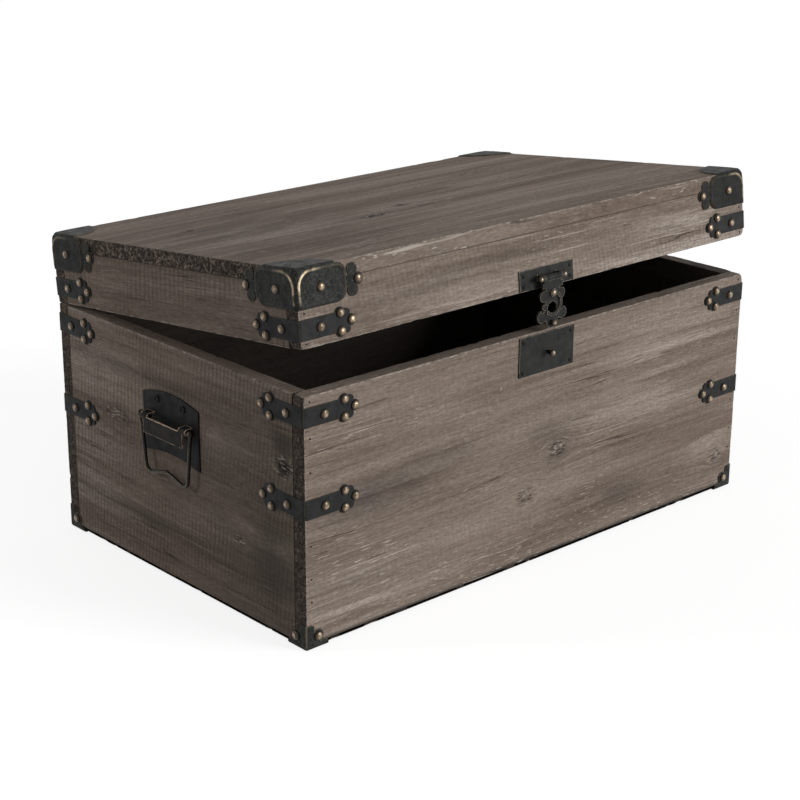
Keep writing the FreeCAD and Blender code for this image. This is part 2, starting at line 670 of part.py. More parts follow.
def handle_plate():
    """Back plate with an arched top and an arched lower edge."""
    half = HANDLE_HALF_WIDTH
    low_left, low_right = Vector(0, -half, HANDLE_LOW), Vector(0, half, HANDLE_LOW)
    high_left, high_right = Vector(0, -half, HANDLE_HIGH), Vector(0, half, HANDLE_HIGH)
    outline = Part.Wire([
        Part.Arc(low_left, Vector(0, 0, HANDLE_LOW + HANDLE_LOW_ARCH), low_right).toShape(),
        Part.makeLine(low_right, high_right),
        Part.Arc(high_right, Vector(0, 0, HANDLE_HIGH + HANDLE_HIGH_ARCH), high_left).toShape(),
        Part.makeLine(high_left, low_left),
    ])
    return only_solid(Part.Face(outline).extrude(Vector(HANDLE_PLATE, 0, 0)))


def handle_bracket():
    """Two sleeves for the bail, each tied back to the plate, with a front flap hanging from them."""
    front = BAIL_OUT + SLEEVE_R
    flap = box(front - FLAP, front, -FLAP_HALF, FLAP_HALF, BAIL_HEIGHT - FLAP_DROP, BAIL_HEIGHT)
    brim = Vector(0, FLAP_DIP_HALF, BAIL_HEIGHT)
    bottom = Vector(0, FLAP_DIP_FLAT, BAIL_HEIGHT - FLAP_DIP)
    across = Vector(1, -1, 1)
    corners = [brim, bottom, bottom.scale(*across), brim.scale(*across), brim]
    dip = Part.Face(Part.makePolygon(corners)).extrude(Vector(front + OVERCUT, 0, 0))
    pieces = [flap.cut(dip)]
    sleeve_top = BAIL_HEIGHT + SLEEVE_R
    for side in (-1, 1):
        inner = Vector(BAIL_OUT, side * SLEEVE_INNER, BAIL_HEIGHT)
        outer = Vector(BAIL_OUT, side * SLEEVE_OUTER, BAIL_HEIGHT)
        near, far = sorted((inner.y, outer.y))
        pieces.append(rod(SLEEVE_R, inner, outer))
        pieces.append(box(HANDLE_PLATE, BAIL_OUT, near, far, sleeve_top - FLAP, sleeve_top))
    span = Vector(0, SLEEVE_OUTER + OVERCUT, 0)
    axis = Vector(BAIL_OUT, 0, BAIL_HEIGHT)
    return only_solid(joined(pieces).cut(rod(BAIL_R + FIT, axis - span, axis + span)))


def rounded_path(corners, bends):
    """Straight runs through the corners, each inner corner rounded to its bend radius."""
    edges = []
    start = corners[0]
    for before, corner, after, bend in zip(corners, corners[1:], corners[2:], bends):
        back = (before - corner).normalize()
        ahead = (after - corner).normalize()
        half = back.getAngle(ahead) / 2
        setback = bend / math.tan(half)
        centre = corner + (back + ahead).normalize() * (bend / math.sin(half))
        entry = corner + back * setback
        leave = corner + ahead * setback
        middle = centre + (corner - centre).normalize() * bend
        edges.append(Part.makeLine(start, entry))
        edges.append(Part.Arc(entry, middle, leave).toShape())
        start = leave
    edges.append(Part.makeLine(start, corners[-1]))
    return Part.Wire(edges)


def handle_bail():
    """Wire bail hanging from its two stubs, its lower run raised to a peak in the middle."""
    def spot(y, drop):
        return Vector(BAIL_OUT, y, BAIL_HEIGHT - drop)

    stub = SLEEVE_INNER - BAIL_STUB_GAP
    corners = [
        spot(-stub, 0),
        spot(-BAIL_HALF_SPAN, 0),
        spot(-BAIL_FOOT_HALF, BAIL_DROP),
        spot(0, BAIL_DROP - BAIL_PEAK),
        spot(BAIL_FOOT_HALF, BAIL_DROP),
        spot(BAIL_HALF_SPAN, 0),
        spot(stub, 0),
    ]
    bends = [BAIL_TOP_BEND, BAIL_LOW_BEND, BAIL_LOW_BEND, BAIL_LOW_BEND, BAIL_TOP_BEND]
    path = rounded_path(corners, bends)
    section = Part.Wire(Part.makeCircle(BAIL_R, corners[0], Vector(0, 1, 0)))
    wire = path.makePipeShell([section], True, False)
    collars = [Part.makeSphere(BAIL_COLLAR_R, spot(side * BAIL_HALF_SPAN, 0)) for side in (-1, 1)]
    return only_solid(joined([wire] + collars))


def at_end(piece, side):
    """Place a handle piece on the right end, or mirrored on the left end."""
    placed = piece.copy()
    placed.translate(Vector(HALF_LENGTH, HANDLE_SETBACK, 0))
    return placed if side > 0 else placed.mirror(ORIGIN, Vector(1, 0, 0))


def strap_spots(side_x, side_y, height):
    """Nail spots of the strap at one corner."""
    spots = corner_spots(side_x, side_y, STRAP_FOLD_NAIL, height)
    spots += corner_spots(side_x, side_y, STRAP_TIP, height)
    for side in (-1, 1):
        spots += corner_spots(side_x, side_y, STRAP_PAIR, height + side * STRAP_PAIR_SPREAD)
    return spots


def build_base():
    """Every node of the base and its handles."""
    straps = []
    for corner, side_x, side_y in CORNERS:
        lower = RIGHT_STRAP_LOWER if side_x > 0 else 0
        for level, drop in (("upper", UPPER_STRAP_DROP), ("middle", MIDDLE_STRAP_DROP + lower)):
            straps.append(("base_%s_strap_%s" % (level, corner), side_x, side_y, BASE_HEIGHT - drop))
    strap_nails = [spot for _, x, y, height in straps for spot in strap_spots(x, y, height)]
    cap_nails = every_corner(BASE_CAP_NAIL, IRON + BASE_CAP_NAIL_RISE)
    plate_nails = plate_spots(BASE_PLATE_HALF_WIDTH, BASE_PLATE_HALF_HEIGHT, STUD_HEIGHT)
    screws = hinge_spots(BASE_HEIGHT - HINGE_SCREW_RISE)
    rivets = handle_spots()
    stud = [(Vector(0, -HALF_DEPTH, STUD_HEIGHT), Vector(0, -1, 0))]
    holes = (
        NAIL.holes(strap_nails) + SHORT_NAIL.holes(cap_nails) + PLATE_NAIL.holes(plate_nails)
        + HINGE_SCREW.holes(screws) + HANDLE_RIVET.holes(rivets) + STUD.holes(stud)
    )
    brad_heights = list(BASE_BRAD_RISES) + [BASE_HEIGHT - drop for drop in BASE_BRAD_DROPS]
    nodes = four_boards("base", BOARD_FOOT, BASE_HEIGHT, holes + brads(brad_heights, FIT))
    nodes["base_floor_panel"] = floor_panel()
    strap = make_strap()
    for name, side_x, side_y, height in straps:
        nodes[name] = drilled(at_corner(strap, side_x, side_y, height), holes)
    cap = make_base_cap()
    for corner, side_x, side_y in CORNERS:
        placed_cap = at_corner(cap, side_x, side_y, IRON, upside_down=True)
        nodes["base_corner_cap_" + corner] = drilled(placed_cap, holes)
    nodes["base_nails"] = NAIL.pins(strap_nails) + SHORT_NAIL.pins(cap_nails)
    nodes["base_brads"] = brads(brad_heights)
    base_plate = front_plate(BASE_PLATE_HALF_WIDTH, BASE_PLATE_HALF_HEIGHT, STUD_HEIGHT)
    nodes["hasp_base_plate"] = drilled(base_plate, holes)
    nodes["hasp_base_plate_nails"] = PLATE_NAIL.pins(plate_nails)
    nodes["hasp_stud"] = STUD.pins(stud)
    for name, side in SIDES:
        nodes[name + "_handle_plate"] = drilled(at_end(handle_plate(), side), holes)
        nodes[name + "_handle_bracket"] = at_end(handle_bracket(), side)
        nodes[name + "_handle_bail"] = at_end(handle_bail(), side)
        leaf = hinge_leaf(side * HINGE_SPREAD, -1, (0, 2))
        nodes[name + "_hinge_base_leaf"] = drilled(leaf, holes)
    nodes["handle_rivets"] = HANDLE_RIVET.pins(rivets)
    nodes["hinge_pins"] = [hinge_pin(side * HINGE_SPREAD) for _, side in SIDES]
    nodes["base_hinge_screws"] = HINGE_SCREW.pins(screws)
    return nodes


def build_lid():
    """Every node that is fixed to the lid, with the lid shut."""
    strap_height = BASE_HEIGHT + LID_STRAP_RISE
    plate_height = HASP_PIN_SHUT.z
    cap_height = LID_TOP - LID_CAP_NAIL_DROP
    nails = every_corner(LID_CAP_NAIL, cap_height) + every_corner(LID_CAP_TIP, cap_height)
    for _, side_x, side_y in CORNERS:
        nails += strap_spots(side_x, side_y, strap_height)
    plate_nails = plate_spots(LID_PLATE_HALF_WIDTH, LID_PLATE_HALF_HEIGHT, plate_height)
    screws = hinge_spots(BASE_HEIGHT + HINGE_SCREW_RISE)
    brad_heights = [BASE_HEIGHT + rise for rise in LID_BRAD_RISES]
    holes = NAIL.holes(nails) + PLATE_NAIL.holes(plate_nails) + HINGE_SCREW.holes(screws)
    nodes = four_boards("lid", BASE_HEIGHT, LID_FRAME_TOP, holes + brads(brad_heights, FIT))
    nodes["lid_top_board"] = drilled(lid_top_board(), holes)
    strap = make_strap()
    cap = make_lid_cap()
    for corner, side_x, side_y in CORNERS:
        nodes["lid_strap_" + corner] = drilled(at_corner(strap, side_x, side_y, strap_height), holes)
        nodes["lid_corner_cap_" + corner] = drilled(at_corner(cap, side_x, side_y, LID_TOP), holes)
    nodes["lid_nails"] = NAIL.pins(nails)
    nodes["lid_brads"] = brads(brad_heights)
    nodes["hasp_lid_plate"] = drilled(hasp_lid_plate(plate_height), holes)
    nodes["hasp_lid_plate_nails"] = PLATE_NAIL.pins(plate_nails)
    nodes["hasp_pin"] = hasp_pin()
    for name, side in SIDES:
        leaf = hinge_leaf(side * HINGE_SPREAD, 1, (1,))
        nodes[name + "_hinge_lid_leaf"] = drilled(leaf, holes)
    nodes["lid_hinge_screws"] = HINGE_SCREW.pins(screws)
    return nodes


def build_hasp():
    """The hasp and what it carries, with the pin at the origin."""
    return {
        "hasp": make_hasp(),
        "hasp_knob": make_knob(),
        "hasp_catch_rivet": make_rivet(),
        "hasp_catch": make_catch(),
    }


def opened(shape):
    """Turn a piece of the shut lid to where it stands ajar."""
    turned = shape.copy()
    turned.rotate(HINGE_AXIS, Vector(-1, 0, 0), LID_AJAR_DEG)
    return turned


def as_list(piece):
    return piece if isinstance(piece, list) else [piece]


def build():
    """All nodes in the rest pose, each as a list of solids."""
    nodes = {name: as_list(piece) for name, piece in build_base().items()}
    for name, piece in build_lid().items():
        nodes[name] = [opened(solid) for solid in as_list(piece)]
    pin_ajar = opened(Part.Vertex(HASP_PIN_SHUT)).Point
    for name, piece in build_hasp().items():
        hanging = piece.copy()
        hanging.translate(pin_ajar)
        nodes[name] = [hanging]
    return nodes


def main():
    os.makedirs("parts", exist_ok=True)
    for name, solids in build().items():
        shape = solids[0] if len(solids) == 1 else Part.makeCompound(solids)
        shape.exportStep("parts/%s.step" % name)
        print("%-32s %3d solids %12.1f mm3 valid %s" % (name, len(solids), shape.Volume, shape.isValid()))


main()
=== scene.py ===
import json
import math
import random

import bmesh
import bpy
import numpy as np
from mathutils import Matrix, Vector, noise


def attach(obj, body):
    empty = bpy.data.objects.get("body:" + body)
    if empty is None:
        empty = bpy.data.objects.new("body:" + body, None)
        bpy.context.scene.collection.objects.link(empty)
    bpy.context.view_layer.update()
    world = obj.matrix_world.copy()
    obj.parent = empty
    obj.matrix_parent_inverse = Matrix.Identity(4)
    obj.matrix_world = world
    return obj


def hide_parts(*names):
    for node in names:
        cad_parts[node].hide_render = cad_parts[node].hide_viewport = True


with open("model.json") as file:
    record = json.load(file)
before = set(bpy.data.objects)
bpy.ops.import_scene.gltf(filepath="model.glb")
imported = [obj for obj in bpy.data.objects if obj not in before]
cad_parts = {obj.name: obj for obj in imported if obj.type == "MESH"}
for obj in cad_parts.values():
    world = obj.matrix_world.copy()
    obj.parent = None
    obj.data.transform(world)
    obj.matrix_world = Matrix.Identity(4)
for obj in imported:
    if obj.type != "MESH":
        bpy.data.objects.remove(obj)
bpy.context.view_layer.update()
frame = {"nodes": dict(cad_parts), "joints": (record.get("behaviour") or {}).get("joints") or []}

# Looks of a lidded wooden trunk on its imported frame: weathered boards, blackened iron, bronze nails.
# Metres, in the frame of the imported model. Pieces of the lid are made with the lid shut and then
# turned with it to where it stands ajar.

NODES = frame["nodes"]
MM = 0.001
X, Y, Z = range(3)
LOW, HIGH = range(2)
CORNERS = ("front_left", "front_right", "back_left", "back_right")

# Camera fitted to the corners of the trunk in the photograph
CAMERA_PLACE = Vector((-1.442861, -1.564325, 0.888559))
CAMERA_RIGHT = Vector((0.740333, -0.672222, 0.004971))
CAMERA_FORWARD = Vector((0.635134, 0.697027, -0.332804))
FOCAL_PIXELS = 1847.98
IMAGE_PIXELS = 800
SENSOR_MM = 36.0

# Boards
LATTICE_STEP = 3.0 * MM
THIN_STEP = 2.0 * MM
THIN_SIDE = 30.0 * MM  # a shorter side takes the thin step
EDGE_LINES = (0.0, 0.6 * MM, 1.3 * MM, 2.2 * MM, 3.6 * MM)
EDGE_RADIUS = 1.0 * MM
EDGE_RADIUS_SWING = 0.45 * MM
TIGHT_RADIUS = 0.25 * MM  # arrises that butt against another board
TIGHT_REACH = 4.0 * MM
CORNER_RADIUS = 6.2 * MM  # wood under the blunt corners of the lid caps
CORNER_REACH = 13.0 * MM
RELIEF = 0.35 * MM
EDGE_WEAR_WIDTH = 7.0 * MM
END_WIDTH = 3.0 * MM
CHIP_SPACING = 90.0 * MM
CHIP_LENGTH = (2.0 * MM, 8.0 * MM)
CHIP_DEPTH = (0.2 * MM, 0.8 * MM)
CHIP_REACH = 4  # how far a chip reaches from the arris, in depths
KNOT_STRETCH = 1.5
KNOT_SWELL = 0.8
ROUND, TORN = 1.0, 3.6  # how far fibres are torn along the grain past a knot, as a share of its radius
SOUND, HOLED = 1.0, 2.0  # whether a knot has fallen out in its middle
SOFT_RADIUS = 4.5 * MM  # corners at the free side of a board
SOFT_REACH = 7.0 * MM
SEAT_ROOM = 0.2 * MM  # under the boards of the lid, where they sit on the base
SAW_PITCH = 6.6 * MM  # saw marks across the grain
LID_SAW_PITCH = 8.0 * MM
SAW_LEAN = 120.0  # radians per metre across the board
SAW_WANDER = 13.0
INSIDE_REACH = {"weathered_wood": 0.8 * MM, "dark_wood": 1.0}  # how deep the darker inner side runs: in the chest partly stain and partly painted shade; the floor panel is dark all through

# Noises of a board, in features per metre, and the seeds that keep them apart
ARRIS_NOISE = (25, 25, 25)
GRAIN_NOISE = (3.0, 34.0, 14.0)  # along the grain, across it and through the board
TORN_NOISE = (55, 55, 140)
SPLINTER_NOISE = (210, 210, 260)
SPLINTER_SHARE = 0.35
TORN_LIMIT = 1.2
FIGURE_SWING = 4.0 * MM
FIGURE_SHARE = 0.6  # of the grain's features
BOARD_SEEDS = 50
RELIEF_SEED, TORN_SEED, SPLINTER_SEED, FIGURE_SEED = 9, 21, 33, 40

# Nails
DOME_SEGMENTS = 28
DOME_RINGS = 8
DOME_LIP = 0.18  # share of the rise that is the upright rim
CROWN_SHARE = 0.04  # share of the radius that is flat at the top
DENT = 0.22 * MM
DENTS_PER_METRE = 420
DENT_SEEDS = 90
RIM_SHARE = 0.98  # of the radius, past which a point is on a head's rim
RUB_FROM = 0.8  # share of the rise from which a rivet is rubbed lighter: partly wear, partly a painted highlight on its ring
RIVET_RUB = 0.7
GLINT = (1.0, 0.90, 0.78, 1.0)  # tint of the highlights on bronze
STUD_NECK = 0.6  # the stud's neck and shoulder as shares of its ball's radius
STUD_SHOULDER = 0.88
STUD_UNDERSIDE = 0.3 * MM  # how far the ball runs down its neck, where the catch needs room
WELD = 1e-6

# Corner irons, in millimetres from the corner along each face and from the edge they are measured from
SHEET = 1.4
SHEET_STEP = 0.9
SNAPS = 2  # how often a trimmed point is moved towards the outline
GRID_MARGIN = 2.0  # how far a sheet's grid runs past its outline, where it is trimmed
PAST_FOLD = 20.0  # how far an outline runs past the folds
FOLD_RADIUS = 3.4
BLUNT_RADIUS = 7.6  # where three faces of a lid cap meet
BLUNT_REACH = 13.0
SKIRT = 0.5  # how far the sheet's cut edge runs into the wood
CUT_EDGE_RUB = 0.10
FOLD_RUB = 0.26
CAP_RUB_AND_SHADE = {"front_left": (1.0, 0.75), "front_right": (0.6, 0.3)}  # how rubbed a lid cap's front and end are; the end's smaller share is partly painted shade
LITTLE_WEAR = (0.3, 0.3)
EVEN_WEAR = (1.0, 1.0)
SMOOTH_CAPS = tuple("lid_corner_cap_" + corner for corner in CORNERS[1:])  # lid caps with a plainer skin

# Straps: arm, neck, round tip, and a pair of lobes and of shoulders spread from the middle line
STRAP_HALF = 10.5
STRAP_NECK_HALF = 5.0
STRAP_TIP = 66.5
STRAP_LOBE_R = 6.0
STRAP_PAIR, STRAP_PAIR_SPREAD = 52.5, 9.5
STRAP_ARM, STRAP_SHOULDER_SPREAD, STRAP_SHOULDER_R = 60.5, 8.0, 4.6
STRAP_GRID_HALF, STRAP_GRID_LINES = 16.0, 37

# Lid caps: side plate, round top, neck with its tip, and a pair of lobes spread from the neck
CAP_REACH, CAP_DROP, CAP_ROUND = 64.0, 41.0, 14.0
CAP_TOP_R = 50.0
CAP_NECK, CAP_NECK_HALF = 21.5, 5.5
CAP_TIP, CAP_TIP_R = 78.5, 6.8
CAP_PAIR, CAP_PAIR_SPREAD, CAP_LOBE_R = 71.8, 10.6, 6.6

# Raised field of a lid cap, with its height and its rubbed rim by the distance from its outline, and
# how the rub fades along the face and down it
PAD_LOW, PAD_HIGH, PAD_ROUNDS = (1.7, 2.0), (62.6, 39.6), (17, 13, 13, 3)
PAD_RISE = ((-3.2, 0.35), (-2.2, 0.45), (-1.4, 0.85), (-0.7, 1.0), (-0.2, 0.7), (0.4, 0.0))
PAD_RIM = ((-2.6, 0.0), (-1.4, 1.0), (-0.2, 1.0), (0.6, 0.0))
RUB_ALONG = ((5, 1.0), (20, 0.6), (36, 0.06))
RUB_DOWN = ((8, 1.0), (22, 0.8), (34, 0.5), (37, 0.0))

# Base caps: post, tongue along the foot, and the lobe round the nail
FOOT_POST, FOOT_RISE, FOOT_ROUND = 10.0, 27.0, 4.0
FOOT_TONGUE, FOOT_TONGUE_RISE = 29.0, 6.0
FOOT_NAIL, FOOT_LOBE_R = (15.0, 13.0), 7.2


def shade(red, green, blue):
    """A colour given as it looks on screen, from 0 to 255."""
    def linear(value):
        value /= 255
        return value / 12.92 if value <= 0.04045 else ((value + 0.055) / 1.055) ** 2.4
    return (linear(red), linear(green), linear(blue), 1.0)


# The lid's place

LID_JOINT = next(joint for joint in frame["joints"] if joint["name"] == "lid_hinge")
LID_PIVOT = Matrix.Translation(Vector(LID_JOINT["pos_m"]))
LID_TURN = Matrix.Rotation(-math.radians(LID_JOINT["range_deg"][0]), 4, Vector(LID_JOINT["axis"]))
TO_REST = {"base": Matrix.Identity(4), "lid": LID_PIVOT @ LID_TURN @ LID_PIVOT.inverted()}


def shut_box(node, body):
    """Lowest and highest corner of a CAD node with the lid shut."""
    back = TO_REST[body].inverted()
    points = np.array([back @ vertex.co for vertex in NODES[node].data.vertices])
    return points.min(axis=0), points.max(axis=0)


def middle_level(node, body):
    """Height of the middle of a CAD node with the lid shut."""
    low, high = shut_box(node, body)
    return (low[Z] + high[Z]) / 2


BASE_LOW, BASE_HIGH = shut_box("base_front_board", "base")
HALF_LENGTH = BASE_HIGH[X]
HALF_DEPTH = -BASE_LOW[Y]
LID_HIGH = shut_box("lid_top_board", "lid")[HIGH][Z]


def put_in_scene(name, data):
    """A new object of the scene that shows a mesh, a lamp or a camera."""
    made = bpy.data.objects.new(name, data)
    bpy.context.scene.collection.objects.link(made)
    return made


def write_values(mesh, name, values):
    """Keep a value for each point of a mesh, for its material to read."""
    values = np.asarray(values, np.float32)
    mesh.attributes.new(name, "FLOAT", "POINT").data.foreach_set("value", values)


def add_piece(name, mesh, material, body, slot, *nodes):
    """Put a mesh made with the lid shut on its body, in place of CAD nodes."""
    mesh.transform(TO_REST[body])
    mesh.materials.append(material)
    mesh.shade_smooth()
    made = put_in_scene(name, mesh)
    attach(made, body)
    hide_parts(*nodes)


class Shader:
    """Short ways of building the nodes of a material or of the world, with colours as seen on screen."""

    def __init__(self, owner, surface="ShaderNodeBsdfPrincipled", output="ShaderNodeOutputMaterial"):
        owner.use_nodes = True
        self.tree = owner.node_tree
        self.tree.nodes.clear()
        self.surface = self.add(surface)
        self.put(self.add(output).inputs["Surface"], self.surface.outputs[0])

    def add(self, kind, **settings):
        node = self.tree.nodes.new(kind)
        for key, value in settings.items():
            setattr(node, key, value)
        return node

    def put(self, socket, value):
        """Link another socket to this one, or set a plain value on it."""
        if isinstance(value, bpy.types.NodeSocket):
            self.tree.links.new(value, socket)
        else:
            socket.default_value = value

    def feed(self, node, **values):
        """Set or link inputs of a node, with spaces in their names written as underscores."""
        for key, value in values.items():
            self.put(node.inputs[key.replace("_", " ")], value)
        return node

    def split(self, vector):
        """The three parts of a vector."""
        return self.feed(self.add("ShaderNodeSeparateXYZ"), Vector=vector).outputs

    def attribute(self, name, output="Fac"):
        return self.add("ShaderNodeAttribute", attribute_name=name).outputs[output]

    def place(self):
        return self.add("ShaderNodeTexCoord").outputs["Object"]

    def noise(self, place, stretch, detail=3.0, roughness=0.55):
        """Noise from 0 to 1, with so many features per metre along each axis."""
        mapping = self.feed(self.add("ShaderNodeMapping"), Vector=place, Scale=stretch)
        texture = self.feed(
            self.add("ShaderNodeTexNoise"), Vector=mapping.outputs["Vector"], Scale=1.0, Detail=detail,
            Roughness=roughness,
        )
        return texture.outputs["Fac"]

    def math(self, operation, first, second):
        node = self.add("ShaderNodeMath", operation=operation)
        self.put(node.inputs[0], first)
        self.put(node.inputs[1], second)
        return node.outputs[0]

    def times(self, first, *others):
        for other in others:
            first = self.math("MULTIPLY", first, other)
        return first

    def plus(self, first, *others):
        for other in others:
            first = self.math("ADD", first, other)
        return first

    def range(self, value, low, high, start=0.0, end=1.0):
        """Value moved from the range low to high to the range start to end, kept inside it."""
        node = self.add("ShaderNodeMapRange", interpolation_type="SMOOTHSTEP")
        self.feed(node, Value=value, From_Min=low, From_Max=high, To_Min=start, To_Max=end)
        return node.outputs["Result"]

    def line(self, value, width):
        """1 where a noise crosses its middle, falling to 0 on both sides."""
        off_middle = self.math("ABSOLUTE", self.math("SUBTRACT", value, 0.5), 0.0)
        return self.range(off_middle, 0.0, width, 1.0, 0.0)

    def ramp(self, value, *stops):
        """Colour that runs through stops, each a place from 0 to 1 and its colour."""
        node = self.feed(self.add("ShaderNodeValToRGB"), Fac=value)
        elements = node.color_ramp.elements
        while len(elements) < len(stops):
            elements.new(0.5)
        for element, (position, colour) in zip(elements, stops):
            element.position = position
            element.color = shade(*colour)
        return node.outputs["Color"]

    def mix(self, share, first, second):
        """A share of a second colour over the first, by the numbers of the node's colour sockets."""
        node = self.add("ShaderNodeMix", data_type="RGBA")
        self.put(node.inputs[0], share)
        self.put(node.inputs[6], first)
        self.put(node.inputs[7], second if isinstance(second, bpy.types.NodeSocket) else shade(*second))
        return node.outputs[2]

    def bump(self, height, distance, strength):
        node = self.add("ShaderNodeBump")
        return self.feed(node, Strength=strength, Distance=distance, Height=height).outputs["Normal"]

    def edges(self, radius, shade_below):
        """0 on flat metal, rising towards 1 at its arrises, less so by a share at those that look down, as
        painted light from above.
        """
        rounded = self.feed(self.add("ShaderNodeBevel", samples=6), Radius=radius).outputs["Normal"]
        node = self.add("ShaderNodeVectorMath", operation="DOT_PRODUCT")
        self.put(node.inputs[0], rounded)
        self.put(node.inputs[1], self.add("ShaderNodeNewGeometry").outputs["Normal"])
        turned = self.math("SUBTRACT", 1.0, node.outputs["Value"])
        if not shade_below:
            return turned
        return self.times(turned, self.range(self.split(rounded)["Z"], -0.05, 0.15, 1.0 - shade_below, 1.0))


# Wood

def wood_material(name, inner_dark, inner_light):
    """Grey-brown weathered boards, read from the lattice attributes that make_board writes."""
    material = bpy.data.materials.new(name)
    s = Shader(material)
    grain = s.attribute("grain", "Vector")
    along, _, through = s.split(grain)
    bent = s.feed(s.add("ShaderNodeCombineXYZ"), X=along, Y=s.attribute("figure"), Z=through)
    figure = bent.outputs["Vector"]

    sawn = s.attribute("saw")
    bands = s.noise(figure, (1.8, 24, 10), 4.0)
    lines = s.noise(figure, (4.0, 150, 40), 5.0, 0.65)
    fibres = s.noise(figure, (40, 700, 300), 4.0, 0.7)
    speckle = s.noise(grain, (130, 460, 430), 4.0, 0.75)
    tone = s.plus(s.times(bands, 0.30), s.times(lines, 0.22), s.times(fibres, 0.18), s.times(speckle, 0.30))

    clouds = s.noise(grain, (5, 11, 9), 4.0)
    stain_and_shade = s.times(s.attribute("stain_and_shade"), s.range(s.noise(figure, (12, 40, 40), 5.0), 0.20, 0.54))
    pale_and_light = s.attribute("pale_and_light")
    wash_bands = s.noise(figure, (3, 38, 20), 3.0)
    wash_streaks = s.noise(figure, (7, 170, 40), 5.0, 0.7)
    washed = s.range(s.plus(s.times(wash_bands, 0.6), s.times(wash_streaks, 0.4)), 0.44, 0.56)
    chalky = s.range(speckle, 0.36, 0.62, 0.45, 1.0)

    wander = s.times(s.noise(grain, (14, 8, 8), 3.0), SAW_WANDER)
    wave = s.math("SINE", s.plus(s.attribute("saw_turn"), wander), 0.0)
    saw_places = s.range(s.noise(grain, (7, 12, 6), 3.0), 0.34, 0.58)
    saw_mark = s.times(s.range(wave, -0.2, 0.9), saw_places, sawn)

    smooth = s.range(sawn, 0.3, 0.9, 1.0, 0.25)
    patches = s.times(s.range(s.noise(grain, (4, 13, 9), 3.0), 0.48, 0.62), smooth)
    patches = s.math("MAXIMUM", patches, pale_and_light)
    streaks = s.range(s.noise(figure, (5, 400, 90), 2.0), 0.64, 0.70)
    flecks = s.range(s.noise(figure, (60, 600, 200), 2.0), 0.62, 0.68)
    scratches = s.times(s.math("MAXIMUM", streaks, flecks), patches)

    vein_places = s.range(s.noise(grain, (4, 12, 5), 2.0), 0.42, 0.58)
    veins = s.times(s.line(s.noise(figure, (1.5, 58, 9), 3.0, 0.45), 0.008), vein_places)
    crack_places = s.range(s.noise(grain, (3, 9, 5), 2.0), 0.52, 0.60)
    cracks = s.times(s.line(s.noise(figure, (1.3, 80, 9), 2.0, 0.4), 0.008), crack_places)

    in_knot = s.attribute("knot")
    crumbs = s.noise(grain, (120, 420, 420), 3.0, 0.65)
    rough_knot = s.range(s.plus(in_knot, s.times(clouds, 0.5)), 0.45, 0.95)
    pits = s.times(s.range(crumbs, 0.46, 0.38), rough_knot)
    # A holed knot's near-black middle is painted shade of a hole that the board's shape doesn't have.
    hole = s.range(s.plus(in_knot, s.times(crumbs, 1.2)), 1.76, 2.10)
    flakes = s.times(s.range(crumbs, 0.54, 0.62), rough_knot)

    edge = s.attribute("edge")
    rubbed = s.range(s.plus(s.times(edge, 0.80), s.noise(grain, (100, 230, 230), 4.0, 0.75)), 1.12, 1.30)
    # Darker in crumbly spots along the arrises.
    arris_dark = s.range(s.math("SUBTRACT", edge, s.noise(grain, (90, 170, 170), 4.0, 0.75)), 0.40, 0.56)

    colour = s.ramp(
        tone, (0.36, (84, 72, 63)), (0.46, (114, 100, 90)), (0.54, (134, 120, 109)), (0.64, (165, 152, 140))
    )
    # The darker and paler places are mostly stains and wash, and a few are painted shade and painted light,
    # given with the boards.
    for mark, strength, tint in (
        (s.range(clouds, 0.50, 0.74), 0.36, (88, 77, 68)),
        (stain_and_shade, 1.0, (67, 62, 57)),
        (s.times(pale_and_light, washed, chalky), 1.0, (190, 178, 167)),
        (saw_mark, 0.36, (64, 55, 50)),
        (scratches, 0.70, (192, 182, 172)),
        (veins, 0.42, (66, 57, 51)),
        (cracks, 0.68, (44, 38, 34)),
        (rough_knot, 0.30, (84, 74, 66)),
        (pits, 0.72, (50, 43, 38)),
        (hole, 0.92, (30, 26, 23)),
        (flakes, 0.72, (178, 167, 156)),
        (rubbed, 0.52, (190, 179, 168)),
        (arris_dark, 0.55, (54, 47, 42)),
    ):
        colour = s.mix(s.times(mark, strength), colour, tint)

    torn = s.attribute("torn")
    # The dark pores and near-black gouges of the end grain are partly the wood's colour and partly painted
    # shade of a torn relief that the shape has only in part.
    pores = s.noise(grain, (330, 370, 370), 3.0, 0.75)
    clumps = s.noise(grain, (180, 140, 140), 4.0, 0.6)
    ragged = s.noise(grain, (270, 240, 280), 4.0, 0.65)
    gouges = s.range(s.plus(ragged, s.times(torn, 0.012)), 0.546, 0.592)
    end = s.range(s.plus(s.attribute("end"), s.times(clumps, 0.60)), 1.02, 1.22)
    end_tone = s.plus(s.times(pores, 0.55), s.times(clumps, 0.45))
    end_colour = s.ramp(end_tone, (0.40, (26, 22, 19)), (0.50, (82, 72, 64)), (0.60, (142, 128, 117)))
    end_colour = s.mix(s.range(torn, 0.5, 1.8, 0.45, 0.0), end_colour, (32, 28, 25))
    end_colour = s.mix(s.times(gouges, 0.90), end_colour, (13, 11, 10))
    colour = s.mix(s.times(end, 0.92), colour, end_colour)
    # Inner faces take a darker tone, partly stain and partly painted shade of the chest's inside.
    colour = s.mix(s.attribute("inside"), colour, s.ramp(tone, (0.36, inner_dark), (0.62, inner_light)))

